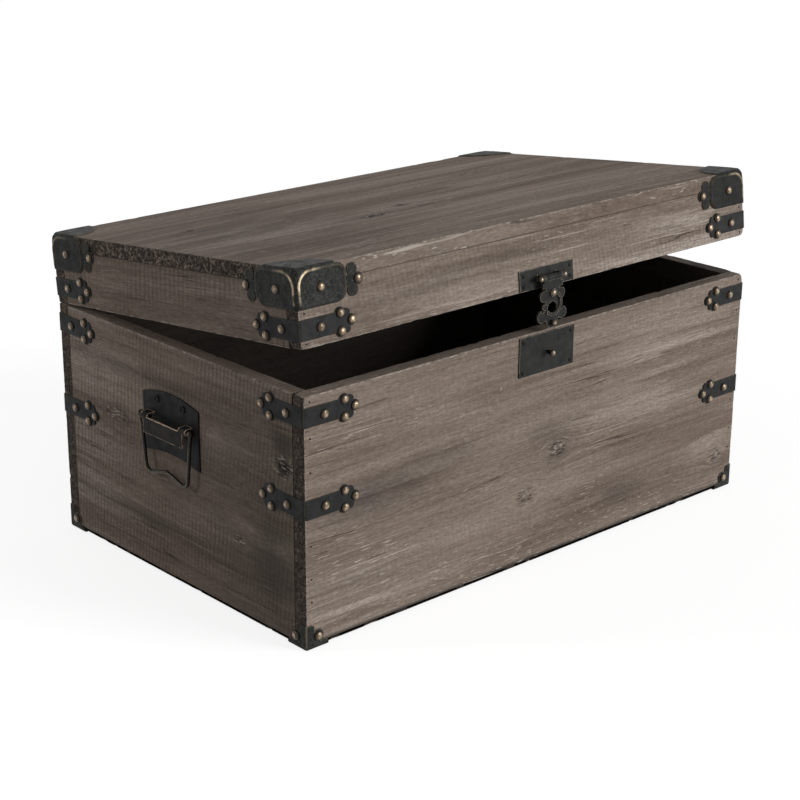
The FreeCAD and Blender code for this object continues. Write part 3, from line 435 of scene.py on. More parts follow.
    height = s.plus(s.times(lines, 0.4), s.times(fibres, 0.40), s.times(speckle, 0.50))
    height = s.plus(height, s.times(saw_mark, -0.30), s.times(cracks, -0.9), s.times(scratches, 0.20))
    height = s.plus(height, s.times(pits, -0.8), s.times(flakes, 0.5), s.times(hole, -0.8))
    height = s.plus(height, s.times(end, s.plus(s.times(end_tone, 2.4), s.times(gouges, -1.8))))
    s.feed(
        s.surface,
        Base_Color=colour,
        Roughness=s.range(tone, 0.3, 0.7, 0.94, 0.76),
        Specular_IOR_Level=0.14,
        Normal=s.bump(height, 0.7 * MM, 0.8),
    )
    return material


def lattice_lines(low, high):
    """Places of the lattice along one side: close at both ends and a step apart between them."""
    near = [low + offset for offset in EDGE_LINES]
    far = [high - offset for offset in reversed(EDGE_LINES)]
    step = THIN_STEP if high - low < THIN_SIDE else LATTICE_STEP
    count = max(2, round((far[0] - near[-1]) / step) + 1)
    return np.concatenate([near, np.linspace(near[-1], far[0], count)[1:-1], far])


def grid_quads(numbers):
    """Quads over a grid of numbered points."""
    corners = [numbers[:-1, :-1], numbers[1:, :-1], numbers[1:, 1:], numbers[:-1, 1:]]
    return np.stack(corners, axis=-1).reshape(-1, 4)


def box_lattice(low, high):
    """Points and outward quads of a closed box whose sides are fine grids."""
    lines = [lattice_lines(low[axis], high[axis]) for axis in range(3)]
    surface = np.zeros([len(line) for line in lines], bool)
    for axis in range(3):
        for end in (0, -1):
            side = [slice(None)] * 3
            side[axis] = end
            surface[tuple(side)] = True
    index = np.zeros(surface.shape, int)
    index[surface] = np.arange(surface.sum())
    steps = np.argwhere(surface)
    points = np.stack([lines[axis][steps[:, axis]] for axis in range(3)], axis=1)
    quads = []
    for axis in range(3):
        for end in (0, -1):
            side = grid_quads(index.take(end, axis=axis))
            outward = (end == -1) != (axis == 1)
            quads.append(side if outward else side[:, ::-1])
    return points, np.concatenate(quads)


def noise_at(points, stretch, seed):
    """Smooth noise from -1 to 1, with so many features per metre along each axis."""
    rows = points * np.array(stretch) + seed
    return np.array([noise.noise(row) for row in rows.tolist()])


def share_at(points, stretch, seed):
    """Smooth noise as a share from 0 to 1."""
    return 0.5 + 0.5 * noise_at(points, stretch, seed)


def ease_edges(points, low, high, radius):
    """Round the arrises of a box lattice to the radius given for each point."""
    radius = radius[:, None]
    inner = np.clip(points, low + radius, high - radius)
    out = points - inner
    length = np.linalg.norm(out, axis=1, keepdims=True)
    return np.where(length > radius, inner + out * radius / np.maximum(length, WELD), points)


def chip_edges(points, flat, low, high, rng, tight):
    """Knock small chips out of the free arrises."""
    size = high - low
    for run in range(3):
        first, second = [axis for axis in range(3) if axis != run]
        for first_end in (0, 1):
            for second_end in (0, 1):
                if (first, first_end) in tight or (second, second_end) in tight:
                    continue
                from_first = np.abs(flat[:, first] - (low, high)[first_end][first])
                from_second = np.abs(flat[:, second] - (low, high)[second_end][second])
                from_edge = np.hypot(from_first, from_second)
                for _ in range(round(size[run] / CHIP_SPACING)):
                    middle = low[run] + rng.random() * size[run]
                    length = rng.uniform(*CHIP_LENGTH)
                    depth = rng.uniform(*CHIP_DEPTH)
                    share = np.clip(1 - ((flat[:, run] - middle) / length) ** 2, 0, 1)
                    share *= np.clip(1 - from_edge / (CHIP_REACH * depth), 0, 1)
                    points[:, first] += (1 - 2 * first_end) * depth * share
                    points[:, second] += (1 - 2 * second_end) * depth * share


def bent_figure(along, across, knots):
    """Growth lines' places across the board, bent round its knots, and how far each point is in one."""
    figure = across.copy()
    in_knot = np.zeros(len(along))
    for knot_along, knot_across, radius, tail, depth in knots:
        off_along = (along - knot_along) / KNOT_STRETCH
        off_across = across - knot_across
        distance = np.hypot(off_along, off_across)
        figure -= off_across * np.minimum(1, (radius / np.maximum(distance, WELD)) ** 2)
        figure += np.clip(radius - distance, 0, None) * KNOT_SWELL
        reach = radius * np.where(off_along > 0, tail, ROUND)
        share = np.exp(-((off_along / reach) ** 2) - (off_across / radius) ** 2)
        in_knot = np.maximum(in_knot, depth * share)
    return figure, in_knot


def smudges_at(along, across, smudges):
    """Strength of the smudges at each point."""
    strongest = np.zeros(len(along))
    for middle_along, middle_across, half_along, half_across, strength in smudges:
        off = ((along - middle_along) / half_along) ** 2 + ((across - middle_across) / half_across) ** 2
        strongest = np.maximum(strongest, strength * np.exp(-off))
    return strongest


def knot(along, across, radius, tail=ROUND, depth=SOUND):
    """A knot's place and radius in millimetres, its torn tail and its depth."""
    return along * MM, across * MM, radius * MM, tail, depth


def smudge(along, across, half_along, half_across, strength):
    """A darker or paler place's middle and half sizes in millimetres, and its strength. Most are stains and
    washed wood, and a few are painted shade and painted light.
    """
    return along * MM, across * MM, half_along * MM, half_across * MM, strength


def make_board(node, body, grain_axis, face_axis, face_side, saw=0.0, pitch=SAW_PITCH, rough=0.5, tight=(),
               soft=(), seat=None, capped=False, knots=(), stains_and_shade=(), pales_and_light=(), slot="weathered_wood"):
    """A weathered board in place of its CAD node, with its grain along one axis and one outer face.

    Sides are given as an axis and its low or high end. The tight ones butt against other boards, and
    the corners at both ends of the soft ones are worn round. The seat leaves room for the base.
    The upper corners of a capped board are blunt, to lie under the lid's caps.
    """
    rng = random.Random(node)
    low, high = shut_box(node, body)
    if seat is not None:
        low[seat] += SEAT_ROOM
    flat, quads = box_lattice(low, high)
    wide_axis = 3 - grain_axis - face_axis
    along, across = flat[:, grain_axis], flat[:, wide_axis]
    seed = rng.uniform(0, BOARD_SEEDS)

    radius = EDGE_RADIUS + EDGE_RADIUS_SWING * noise_at(flat, ARRIS_NOISE, seed)
    for axis, end in tight:
        radius[np.abs(flat[:, axis] - (low, high)[end][axis]) < TIGHT_REACH] = TIGHT_RADIUS
    if capped:
        from_corner = np.linalg.norm(np.minimum(flat - low, high - flat) * (1, 1, 0), axis=1)
        from_corner = np.hypot(from_corner, high[Z] - flat[:, Z])
        radius = np.maximum(radius, CORNER_RADIUS * np.exp(-((from_corner / CORNER_REACH) ** 2)))
    from_ends = np.minimum(along - low[grain_axis], high[grain_axis] - along)
    for axis, end in soft:
        from_corner = np.hypot(from_ends, flat[:, axis] - (low, high)[end][axis])
        radius = np.maximum(radius, SOFT_RADIUS * np.exp(-((from_corner / SOFT_REACH) ** 2)))
    points = ease_edges(flat, low, high, radius)
    chip_edges(points, flat, low, high, rng, tight)

    stretch = np.zeros(3)
    stretch[[grain_axis, wide_axis, face_axis]] = GRAIN_NOISE
    depth = RELIEF * share_at(flat, stretch, seed + RELIEF_SEED)
    outer = (low, high)[face_side > 0][face_axis]
    inner = (low, high)[face_side < 0][face_axis]
    on_outer = np.abs(flat[:, face_axis] - outer) < WELD
    points[on_outer, face_axis] -= face_side * depth[on_outer]

    torn = share_at(flat, TORN_NOISE, seed + TORN_SEED)
    torn += SPLINTER_SHARE * noise_at(flat, SPLINTER_NOISE, seed + SPLINTER_SEED)
    toward_middle = np.sign((low + high)[grain_axis] / 2 - along)
    near_end = np.clip(1 - from_ends / END_WIDTH, 0, 1)
    points[:, grain_axis] += toward_middle * near_end * np.clip(torn, 0, TORN_LIMIT) * rough * MM

    sides = [flat - low, high - flat]
    for axis, end in tight:
        sides[end][:, axis] = np.inf
    gaps = np.sort(np.minimum(*sides), axis=1)
    figure, in_knot = bent_figure(along, across, knots)
    figure += FIGURE_SWING * noise_at(flat, stretch * FIGURE_SHARE, seed + FIGURE_SEED)
    values = {
        "figure": figure + seed,
        "knot": in_knot,
        "stain_and_shade": smudges_at(along, across, stains_and_shade),
        "end": near_end,
        "edge": np.clip(1 - gaps[:, 1] / EDGE_WEAR_WIDTH, 0, 1),
        "inside": (np.abs(flat[:, face_axis] - inner) < INSIDE_REACH[slot]).astype(float),
        "saw": np.full(len(flat), saw),
        "saw_turn": 2 * math.pi * along / pitch + SAW_LEAN * across,
        "torn": np.full(len(flat), rough),
        "pale_and_light": smudges_at(along, across, pales_and_light),
    }
    grain = np.stack([along, across, flat[:, face_axis]], axis=1) + seed

    mesh = bpy.data.meshes.new(node + "_weathered")
    mesh.from_pydata(points.tolist(), [], quads.tolist())
    for name, value in values.items():
        write_values(mesh, name, value)
    mesh.attributes.new("grain", "FLOAT_VECTOR", "POINT").data.foreach_set(
        "vector", grain.astype(np.float32).ravel()
    )
    add_piece(node + "_weathered", mesh, WOODS[slot], body, slot, node)


# Metal

def iron_material(name, dark, light, rub, rub_share, edge_radius=0.5 * MM, hammer=0.12 * MM, squiggle=0.0,
                  blunt=0.15, shade_below=0.0):
    """Blackened iron with a mottled skin, scribbled in places and rubbed along its arrises.

    The rub is full where the arrises turn by the share called blunt. Those that look down get less of it by a
    share, so the rub on arrises that look up is partly a painted highlight.
    """
    material = bpy.data.materials.new(name)
    s = Shader(material)
    place = s.place()
    mottle = s.noise(place, (90, 90, 90), 5.0, 0.65)
    dents = s.noise(place, (300, 300, 300), 3.0, 0.5)
    scribble = s.line(s.noise(place, (215, 215, 215), 1.0, 0.5), 0.070)
    colour = s.ramp(mottle, (0.35, dark), (0.70, light))
    colour = s.mix(s.times(scribble, squiggle), colour, (80, 80, 76))
    edge = s.range(s.edges(edge_radius, shade_below), 0.01, blunt)
    wear = s.math("MAXIMUM", edge, s.attribute("wear"))
    patchy = s.range(s.noise(place, (110, 110, 110), 4.0, 0.6), 0.30, 0.56, 0.15, 1.0)
    rubbed = s.times(wear, patchy, rub_share)
    colour = s.mix(rubbed, colour, rub)
    height = s.plus(s.times(dents, 0.8), s.times(mottle, 0.5), s.times(scribble, squiggle))
    s.feed(
        s.surface,
        Base_Color=colour,
        Metallic=s.times(rubbed, 0.55),
        Roughness=s.range(mottle, 0.3, 0.7, 0.66, 0.48),
        Specular_IOR_Level=0.10,
        Normal=s.bump(height, hammer, 0.7),
    )
    return material


def bronze_material(name, rim, body, crown, glint, highlight_axis=None, sheen=0.32):
    """Antique bronze, darker in its low places and lighter on its high ones, up to a glint colour.

    Heads carry their own heights: the dark foot is partly patina and partly painted shade, and the light
    crown is partly rubbed metal and partly a painted highlight. On other pieces the sides that look along the
    given axis are high, a painted highlight set by the way they face.
    """
    material = bpy.data.materials.new(name)
    s = Shader(material)
    mottle = s.noise(s.place(), (260, 260, 260), 4.0, 0.6)
    swing = s.times(s.math("SUBTRACT", mottle, 0.5), 0.8)
    if highlight_axis is None:
        height = s.attribute("crown")
    else:
        facing = s.split(s.add("ShaderNodeTexCoord").outputs["Normal"])[highlight_axis]
        height = s.range(s.math("ABSOLUTE", facing, 0.0), 0.40, 0.98, 0.52, 1.0)
    # High places take the crown and glint colours: a painted highlight, which on heads is partly rubbed metal
    # as well.
    high = s.plus(height, swing)
    s.feed(
        s.surface,
        Base_Color=s.ramp(high, (0.28, rim), (0.72, body), (0.91, crown), (1.0, glint)),
        Metallic=s.range(high, 0.75, 1.0, 0.06, 0.30),
        Roughness=s.range(mottle, 0.3, 0.7, 0.14, 0.26),
        Specular_IOR_Level=sheen,
        Specular_Tint=GLINT,
        Normal=s.bump(mottle, 0.2 * MM, 0.6),
    )
    return material


def islands(node, body):
    """The points of each separate solid of a CAD node, with the lid shut, in a fixed order."""
    back = TO_REST[body].inverted()
    made = bmesh.new()
    made.from_mesh(NODES[node].data)
    bmesh.ops.remove_doubles(made, verts=made.verts, dist=WELD)
    left = set(made.verts)
    found = []
    while left:
        queue = [left.pop()]
        solid = []
        while queue:
            vertex = queue.pop()
            solid.append(back @ vertex.co)
            for edge in vertex.link_edges:
                other = edge.other_vert(vertex)
                if other in left:
                    left.remove(other)
                    queue.append(other)
        found.append(np.array(solid))
    made.free()
    return sorted(found, key=lambda points: tuple(points.min(axis=0).round(5)))


def fasteners(node, body):
    """Foot of the head, outward direction, head radius and rise of each nail or rivet of a node."""
    found = []
    for points in islands(node, body):
        low, high = points.min(axis=0), points.max(axis=0)
        middle = (low + high) / 2
        axis = int(np.argmax(high - low))
        side = 1 if middle[axis] > 0 else -1
        crown = (low, high)[side > 0][axis]
        off_axis = np.delete(points - middle, axis, axis=1)
        from_axis = np.hypot(off_axis[:, 0], off_axis[:, 1])
        radius = from_axis.max()
        rim = points[from_axis > RIM_SHARE * radius][:, axis]
        foot = middle.copy()
        foot[axis] = rim.mean()
        outward = np.zeros(3)
        outward[axis] = side
        found.append((Vector(foot), Vector(outward), radius, abs(crown - foot[axis])))
    return found


def dome_profile():
    """Steps of a round head from its foot to its crown, as shares of its radius and of its rise."""
    steps = [(1.0, 0.0)]
    for ring in range(DOME_RINGS - 1):
        angle = ring / (DOME_RINGS - 2) * math.pi / 2
        steps.append((max(math.cos(angle), CROWN_SHARE), DOME_LIP + (1 - DOME_LIP) * math.sin(angle)))
    return steps


def stud_profile():
    """Steps of the stud from its foot in the plate, up its neck and over its ball."""
    (foot, outward, radius, rise), = fasteners("hasp_stud", "base")
    plate = shut_box("hasp_base_plate", "base")[LOW][Y]
    neck = (plate - foot.y) / (outward.y * rise)
    waist = -STUD_UNDERSIDE / rise
    return [(STUD_NECK, neck), (STUD_NECK, waist), (STUD_SHOULDER, 0.5 * waist)] + dome_profile()


# Flat rivet head with a raised ring, as shares of its radius and of its rise
RIVET_PROFILE = [
    (1.0, 0.0), (1.0, 0.45), (0.95, 0.8), (0.88, 1.0), (0.80, 0.9),
    (0.72, 0.5), (0.62, 0.4), (0.30, 0.55), (0.04, 0.6),
]


def head_points(foot, outward, radius, rise, profile, rng):
    """Rings of a hammered head, from its foot to its crown, and each point's share of the rise."""
    turn = Vector((0, 0, 1)).rotation_difference(outward).to_matrix()
    seed = Vector([rng.uniform(0, DENT_SEEDS) for _ in range(3)])
    points, shares = [], []
    for out, up in profile:
        for step in range(DOME_SEGMENTS):
            around = 2 * math.pi * step / DOME_SEGMENTS
            local = Vector((out * radius * math.cos(around), out * radius * math.sin(around), up * rise))
            dent = DENT * max(up, 0) * noise.noise(local * DENTS_PER_METRE + seed)
            points.append(foot + turn @ (local * (1 + dent / radius)))
            shares.append(up)
    return points, shares


def head_faces(start, rings):
    """Faces of a closed head over its rings."""
    faces = []
    for ring in range(rings - 1):
        for step in range(DOME_SEGMENTS):
            after = (step + 1) % DOME_SEGMENTS
            low, high = start + ring * DOME_SEGMENTS, start + (ring + 1) * DOME_SEGMENTS
            faces.append((low + step, low + after, high + after, high + step))
    last = start + (rings - 1) * DOME_SEGMENTS
    faces.append(tuple(range(last, last + DOME_SEGMENTS)))
    faces.append(tuple(range(start + DOME_SEGMENTS - 1, start - 1, -1)))
    return faces


def make_heads(node, body, material, slot, profile):
    """Hammered heads in place of a node of nails or rivets."""
    rng = random.Random(node)
    points, shares, faces = [], [], []
    for foot, outward, radius, rise in fasteners(node, body):
        faces += head_faces(len(points), len(profile))
        more_points, more_shares = head_points(foot, outward, radius, rise, profile, rng)
        points += more_points
        shares += more_shares
    mesh = bpy.data.meshes.new(node + "_heads")
    mesh.from_pydata(points, [], faces)
    write_values(mesh, "crown", shares)
    write_values(mesh, "wear", [RIVET_RUB * max(0.0, share - RUB_FROM) / (1 - RUB_FROM) for share in shares])
    add_piece(node + "_heads", mesh, material, body, slot, node)


# Corner irons: outlines are signed distances in millimetres, negative inside

def slab(spots, low, high, rounds=(0, 0, 0, 0)):
    """Distance to a rectangle with its own round at each corner: near low, far low, far high, near high."""
    low, high = np.array(low, float), np.array(high, float)
    off = spots - (low + high) / 2
    far, deep = off[:, 0] > 0, off[:, 1] > 0
    radius = np.where(far, np.where(deep, rounds[2], rounds[1]), np.where(deep, rounds[3], rounds[0]))
    past = np.abs(off) - (high - low) / 2 + radius[:, None]
    return np.linalg.norm(np.maximum(past, 0), axis=1) + np.minimum(past.max(axis=1), 0) - radius


def disc(spots, middle, radius):
    return np.linalg.norm(spots - np.array(middle), axis=1) - radius


def strap_outline(spots):
    """Strap arm with a five-lobed end, measured from the corner and from the strap's middle line."""
    shapes = [
        slab(spots, (-PAST_FOLD, -STRAP_HALF), (STRAP_ARM, STRAP_HALF)),
        slab(spots, (0, -STRAP_NECK_HALF), (STRAP_TIP, STRAP_NECK_HALF)),
        disc(spots, (STRAP_TIP, 0), STRAP_LOBE_R),
    ]
    for side in (-1, 1):
        shapes.append(disc(spots, (STRAP_PAIR, STRAP_PAIR_SPREAD * side), STRAP_LOBE_R))
        shapes.append(disc(spots, (STRAP_ARM, STRAP_SHOULDER_SPREAD * side), STRAP_SHOULDER_R))
    return np.min(shapes, axis=0)


def lid_cap_outline(spots):
    """Side plate of a lid cap with a three-lobed end, measured from the corner and down from the top."""
    shapes = [
        slab(spots, (-PAST_FOLD, -PAST_FOLD), (CAP_TOP_R, CAP_DROP)),
        slab(spots, (-PAST_FOLD, 0), (CAP_REACH, CAP_DROP), (0, CAP_ROUND, CAP_ROUND, 0)),
        slab(spots, (0, CAP_NECK - CAP_NECK_HALF), (CAP_TIP, CAP_NECK + CAP_NECK_HALF)),
        disc(spots, (CAP_TIP, CAP_NECK), CAP_TIP_R),
    ]
    for side in (-1, 1):
        shapes.append(disc(spots, (CAP_PAIR, CAP_NECK + CAP_PAIR_SPREAD * side), CAP_LOBE_R))
    return np.min(shapes, axis=0)


def follow(steps, places):
    """Values at some places on a line through steps, each a place and its value."""
    return np.interp(places, *zip(*steps))


def lid_cap_relief(spots):
    """Height of a lid cap's side over its sheet, and how rubbed it is."""
    from_pad = slab(spots, PAD_LOW, PAD_HIGH, PAD_ROUNDS)
    rub = follow(PAD_RIM, from_pad) * follow(RUB_ALONG, spots[:, 0]) * follow(RUB_DOWN, spots[:, 1])
    return follow(PAD_RISE, from_pad), rub


def base_cap_outline(spots):
    """Side of a base cap, measured from the corner and up from its foot."""
    shapes = [
        slab(spots, (-PAST_FOLD, -PAST_FOLD), (FOOT_POST, FOOT_RISE), (0, 0, FOOT_ROUND, 0)),
        slab(spots, (-PAST_FOLD, -PAST_FOLD), (FOOT_TONGUE, FOOT_TONGUE_RISE), (0, 0, FOOT_ROUND, 0)),
        disc(spots, FOOT_NAIL, FOOT_LOBE_R),
    ]
    return np.min(shapes, axis=0)


def plain_relief(spots):
    """No height over the sheet, and a rubbed fold."""
    return np.zeros(len(spots)), np.where(spots[:, 0] < 0, FOLD_RUB, 0.0)


def slope_of(outline, spots):
    """Direction in which an outline's distance grows."""
    nudge = 0.05
    slopes = []
    for step in ((nudge, 0), (0, nudge)):
        slopes.append((outline(spots + np.array(step)) - outline(spots - np.array(step))) / (2 * nudge))
    return np.stack(slopes, axis=1)


class Sheet:
    """Fine mesh of a sheet folded round a corner, gathered face by face.

    Axes 0 and 1 run from the corner along its two faces and axis 2 along its upright edge. Each face
    is a grid trimmed to its outline, and the faces share the points on their folds.
    """

    def __init__(self, axes, folded):
        self.axes = axes
        self.folded = folded  # whether the faces are folded over at the start of each axis
        self.known = {}
        self.places, self.rises, self.rubs = [], [], []
        self.quads, self.borders = [], []

    def point(self, key, place, rise, rub):
        """Number of a point, which is added when it is new."""
        if key not in self.known:
            self.known[key] = len(self.places)
            self.places.append(place)
            self.rises.append(rise)
            self.rubs.append(rub)
        return self.known[key]

    def add_face(self, first, second, facing, outline, relief, worn, flip):
        """Add the grid over two axes, with its trimmed points on the outline and its rub times a share, which
        on a lid cap's end is lowered partly as painted shade.
        """
        across, along = np.meshgrid(self.axes[first], self.axes[second], indexing="ij")
        spots = np.stack([across.ravel(), along.ravel()], axis=1)
        on_first = (spots[:, 0] == -SHEET) & self.folded[first]
        on_second = (spots[:, 1] == -SHEET) & self.folded[second]
        rises, rubs = relief(spots)
        rows = grid_quads(np.arange(len(spots)).reshape(across.shape))
        rows = rows[outline(spots[rows].mean(axis=1)) < 0].tolist()

        uses = {}
        for row in rows:
            for start, end in zip(row, row[1:] + row[:1]):
                uses.setdefault(frozenset((start, end)), []).append((start, end))
        open_edges = [
            edges[0]
            for edges in uses.values()
            if len(edges) == 1 and not on_first[list(edges[0])].all() and not on_second[list(edges[0])].all()
        ]
        rim = np.array(sorted({number for edge in open_edges for number in edge}))
        rim = rim[~(on_first | on_second)[rim]]
        for _ in range(SNAPS):
            spots[rim] -= outline(spots[rim])[:, None] * slope_of(outline, spots[rim])

        points = {}
        for number in sorted({number for row in rows for number in row}):
            place = np.full(3, -SHEET)
            place[[first, second]] = spots[number]
            key = (facing, number)
            if on_first[number] or on_second[number]:
                steps = [0, 0, 0]
                steps[first], steps[second] = divmod(number, across.shape[1])
                key = tuple(steps)
            points[number] = self.point(key, place, rises[number], worn * rubs[number])
        order = -1 if flip else 1
        self.quads += [[points[number] for number in row[::order]] for row in rows]
        self.borders += [(points[start], points[end])[::order] for start, end in open_edges]

    def finish(self, blunt):
        """Points, quads and rubbed shares of the closed sheet, its folds rounded, its back in the wood."""
        places = np.array(self.places)
        lowest = np.where(self.folded, -SHEET, places.min() - blunt)
        from_corner = np.linalg.norm(places + SHEET, axis=1)
        radius = FOLD_RADIUS + (blunt - FOLD_RADIUS) * np.exp(-((from_corner / BLUNT_REACH) ** 2))
        inner = np.maximum(places, lowest + radius[:, None])
        out = places - inner
        length = np.linalg.norm(out, axis=1)
        outward = out / length[:, None]
        reach = np.minimum(length, radius)
        points = inner + outward * (reach + self.rises)[:, None]
        backs = inner + outward * (reach - SHEET - SKIRT)[:, None]

        count = len(points)
        quads = self.quads + [[number + count for number in quad[::-1]] for quad in self.quads]
        quads += [[end, start, start + count, end + count] for start, end in self.borders]
        rubs = np.array(self.rubs)
        rim = sorted({number for edge in self.borders for number in edge})
        rubs[rim] = np.maximum(rubs[rim], CUT_EDGE_RUB)
        return np.concatenate([points, backs]), quads, np.concatenate([rubs, rubs])


def grid_lines(reach):
    """Places of a sheet's grid lines, from its fold to a little past its reach."""
    count = round((reach + GRID_MARGIN) / SHEET_STEP)
    return np.concatenate([[-SHEET], np.arange(1, count + 1) * SHEET_STEP])


def corner_iron(node, body, level, upward, outline, relief, reach, drops, top_radius=0.0, blunt=FOLD_RADIUS,
                worn=EVEN_WEAR):
    """Sheet folded round a corner in place of its CAD node, with a third face over the end if it has a top.

    Distances run from the corner along both faces and from a level, up or down, in millimetres.
    """
    side_x = 1 if "right" in node else -1
    side_y = 1 if "back" in node else -1
    turned = side_x * side_y * upward < 0
    runs = grid_lines(reach)
    sheet = Sheet([runs, runs, drops], np.array([True, True, top_radius > 0]))
    sheet.add_face(0, 2, 1, outline, relief, worn[0], turned)
    sheet.add_face(1, 2, 0, outline, relief, worn[1], not turned)
    if top_radius:
        sheet.add_face(0, 1, 2, lambda spots: disc(spots, (0, 0), top_radius), plain_relief, 0.0, not turned)
    points, quads, rubs = sheet.finish(blunt)
    placed = np.stack([
        side_x * (HALF_LENGTH - points[:, 0] * MM),
        side_y * (HALF_DEPTH - points[:, 1] * MM),
        level + upward * points[:, 2] * MM,
    ], axis=1)
    mesh = bpy.data.meshes.new(node + "_formed")
    mesh.from_pydata(placed.tolist(), [], quads)
    write_values(mesh, "wear", rubs)
    material, slot = (CAP_IRON, "cap_iron") if "cap" in node else (STRAP_IRON, "strap_iron")
    if node in SMOOTH_CAPS:
        material = SMOOTH_CAP_IRON
    add_piece(node + "_formed", mesh, material, body, slot, node)


def paint(material, *nodes):
    """Give CAD nodes that stay as they are a better material."""
    for node in nodes:
        mesh = NODES[node].data
        mesh.materials.clear()
        mesh.materials.append(material)


# Materials

WOODS = {
    "weathered_wood": wood_material("weathered_wood", (57, 52, 48), (94, 86, 79)),
    "dark_wood": wood_material("dark_wood", (44, 38, 35), (66, 58, 54)),
}
STRAP_IRON = iron_material("strap_iron", (32, 33, 32), (45, 46, 45), (150, 138, 120), 0.60)
CAP_IRON = iron_material(
    "cap_iron", (24, 25, 24), (44, 44, 42), (236, 216, 182), 1.0, hammer=0.45 * MM, squiggle=0.42
)
SMOOTH_CAP_IRON = iron_material(
    "smooth_cap_iron", (22, 23, 22), (33, 33, 31), (236, 216, 182), 1.0, hammer=0.14 * MM, squiggle=0.10
)
HASP_IRON = iron_material(
    "hasp_iron", (33, 34, 33), (47, 47, 45), (164, 154, 134), 1.0, edge_radius=0.7 * MM, blunt=0.08
)
HANDLE_IRON = iron_material("handle_iron", (10, 11, 11), (24, 24, 24), (110, 96, 76), 0.35)
# The bracket's rub on its upper arrises is partly wear and partly a painted highlight.
BRACKET_IRON = iron_material(
    "bracket_iron", (11, 10, 9), (28, 24, 20), (242, 212, 184), 1.0, edge_radius=1.4 * MM, blunt=0.06,
    shade_below=0.85,
)
DARK_IRON = iron_material(
    "dark_iron", (5, 5, 5), (14, 14, 13), (96, 90, 80), 0.35, edge_radius=0.4 * MM, hammer=0.1 * MM
)
# The last colour of each bronze is its painted highlight. On the hasp and the bail it is painted on the sides
# facing Y and X.
NAIL_BRONZE = bronze_material("nail_bronze", (14, 11, 9), (76, 63, 50), (126, 107, 86), (180, 160, 134))
HASP_BRONZE = bronze_material("hasp_bronze", (26, 22, 18), (76, 66, 54), (112, 99, 83), (158, 142, 121), "Y")
STUD_BRONZE = bronze_material("stud_bronze", (12, 10, 9), (78, 68, 58), (116, 104, 90), (168, 152, 133))
BAIL_BRONZE = bronze_material(
    "bail_bronze", (8, 7, 6), (15, 13, 11), (26, 23, 19), (66, 59, 49), "X", sheen=0.18
)

# Boards

BUTT_ENDS = [(Y, LOW), (Y, HIGH)]
make_board(
    "base_front_board", "base", X, Y, -1, saw=0.2, tight=[(Z, LOW)], soft=[(Z, HIGH)],
    knots=[
        knot(23, 131, 11), knot(-27, 86, 12), knot(316, 49, 10), knot(-107, 247, 2), knot(-71, 225, 2),
    ],
    stains_and_shade=[
        smudge(-255, 152, 75, 20, 0.85), smudge(-165, 167, 80, 12, 0.5), smudge(5, 157, 45, 12, 0.5),
        smudge(138, 48, 34, 16, 0.6), smudge(24, 130, 26, 17, 0.5), smudge(-270, 62, 90, 10, 0.35),
        # The two long thin ones make the board darker along its foot and along its top edge.
        smudge(0, 6.5, 400, 2.6, 1.8), smudge(0, 281, 400, 2.5, 0.4),
    ],
    pales_and_light=[
        smudge(-150, 140, 400, 200, 0.16), smudge(240, 205, 130, 40, 0.64), smudge(180, 150, 160, 30, 0.40),
        smudge(-285, 28, 80, 18, 0.80), smudge(-120, 40, 120, 14, 0.40), smudge(310, 70, 60, 40, 0.42),
    ],
)
make_board(
    "base_back_board", "base", X, Y, 1, saw=0.2, tight=[(Z, LOW)],
    knots=[knot(-140, 120, 9, TORN), knot(210, 190, 7, TORN)],
)
make_board(
    "base_left_board", "base", Y, X, -1, saw=1.0, rough=0.0, tight=BUTT_ENDS + [(Z, LOW)],
    knots=[knot(-190, 196, 11, ROUND, HOLED), knot(105, 172, 8, TORN), knot(-112, 90, 7)],
    # The broad stain towards the front is partly a real stain and partly painted shade, making the face
    # darker at the front.
    stains_and_shade=[
        smudge(105, 174, 16, 12, 0.5), smudge(-112, 87, 10, 34, 0.60), smudge(60, 62, 170, 9, 0.75),
        smudge(40, 232, 170, 7, 0.65), smudge(-150, 125, 120, 200, 0.52), smudge(-168, 85, 60, 80, 0.80),
        smudge(-188, 222, 26, 26, 0.90), smudge(-190, 196, 16, 18, 0.90),
    ],
    # Painted light: the broad pale place makes the face lighter towards the back.
    pales_and_light=[smudge(180, 120, 90, 200, 0.42)],
)
make_board(
    "base_right_board", "base", Y, X, 1, saw=1.0, rough=0.0, tight=BUTT_ENDS + [(Z, LOW)],
    knots=[knot(60, 90, 8, TORN)],
    # Darker along the board's top edge.
    stains_and_shade=[smudge(0, 284, 400, 9, 1.7)],
)
make_board(
    "lid_front_board", "lid", X, Y, -1, saw=0.45, tight=[(Z, HIGH)], soft=[(Z, LOW)], seat=Z,
    knots=[knot(130, 327, 3, TORN)],
    stains_and_shade=[
        smudge(-60, 324, 150, 7, 0.45), smudge(-190, 312, 110, 5, 0.45), smudge(210, 312, 120, 6, 0.35),
    ],
    pales_and_light=[
        smudge(0, 280, 400, 11, 1.0), smudge(-20, 310, 380, 60, 0.14), smudge(265, 300, 110, 30, 0.95),
        smudge(60, 340, 190, 9, 0.45), smudge(-130, 300, 130, 8, 0.35),
    ],
)
make_board(
    "lid_back_board", "lid", X, Y, 1, saw=0.45, tight=[(Z, HIGH)], seat=Z,
    pales_and_light=[smudge(0, 283, 400, 9, 0.6)],
)
for side, face_side in (("left", -1), ("right", 1)):
    make_board(
        "lid_%s_board" % side, "lid", Y, X, face_side, saw=1.0, pitch=LID_SAW_PITCH, rough=0.0,
        tight=BUTT_ENDS + [(Z, HIGH)], seat=Z, stains_and_shade=[smudge(0, 310, 300, 80, 0.28)],
    )
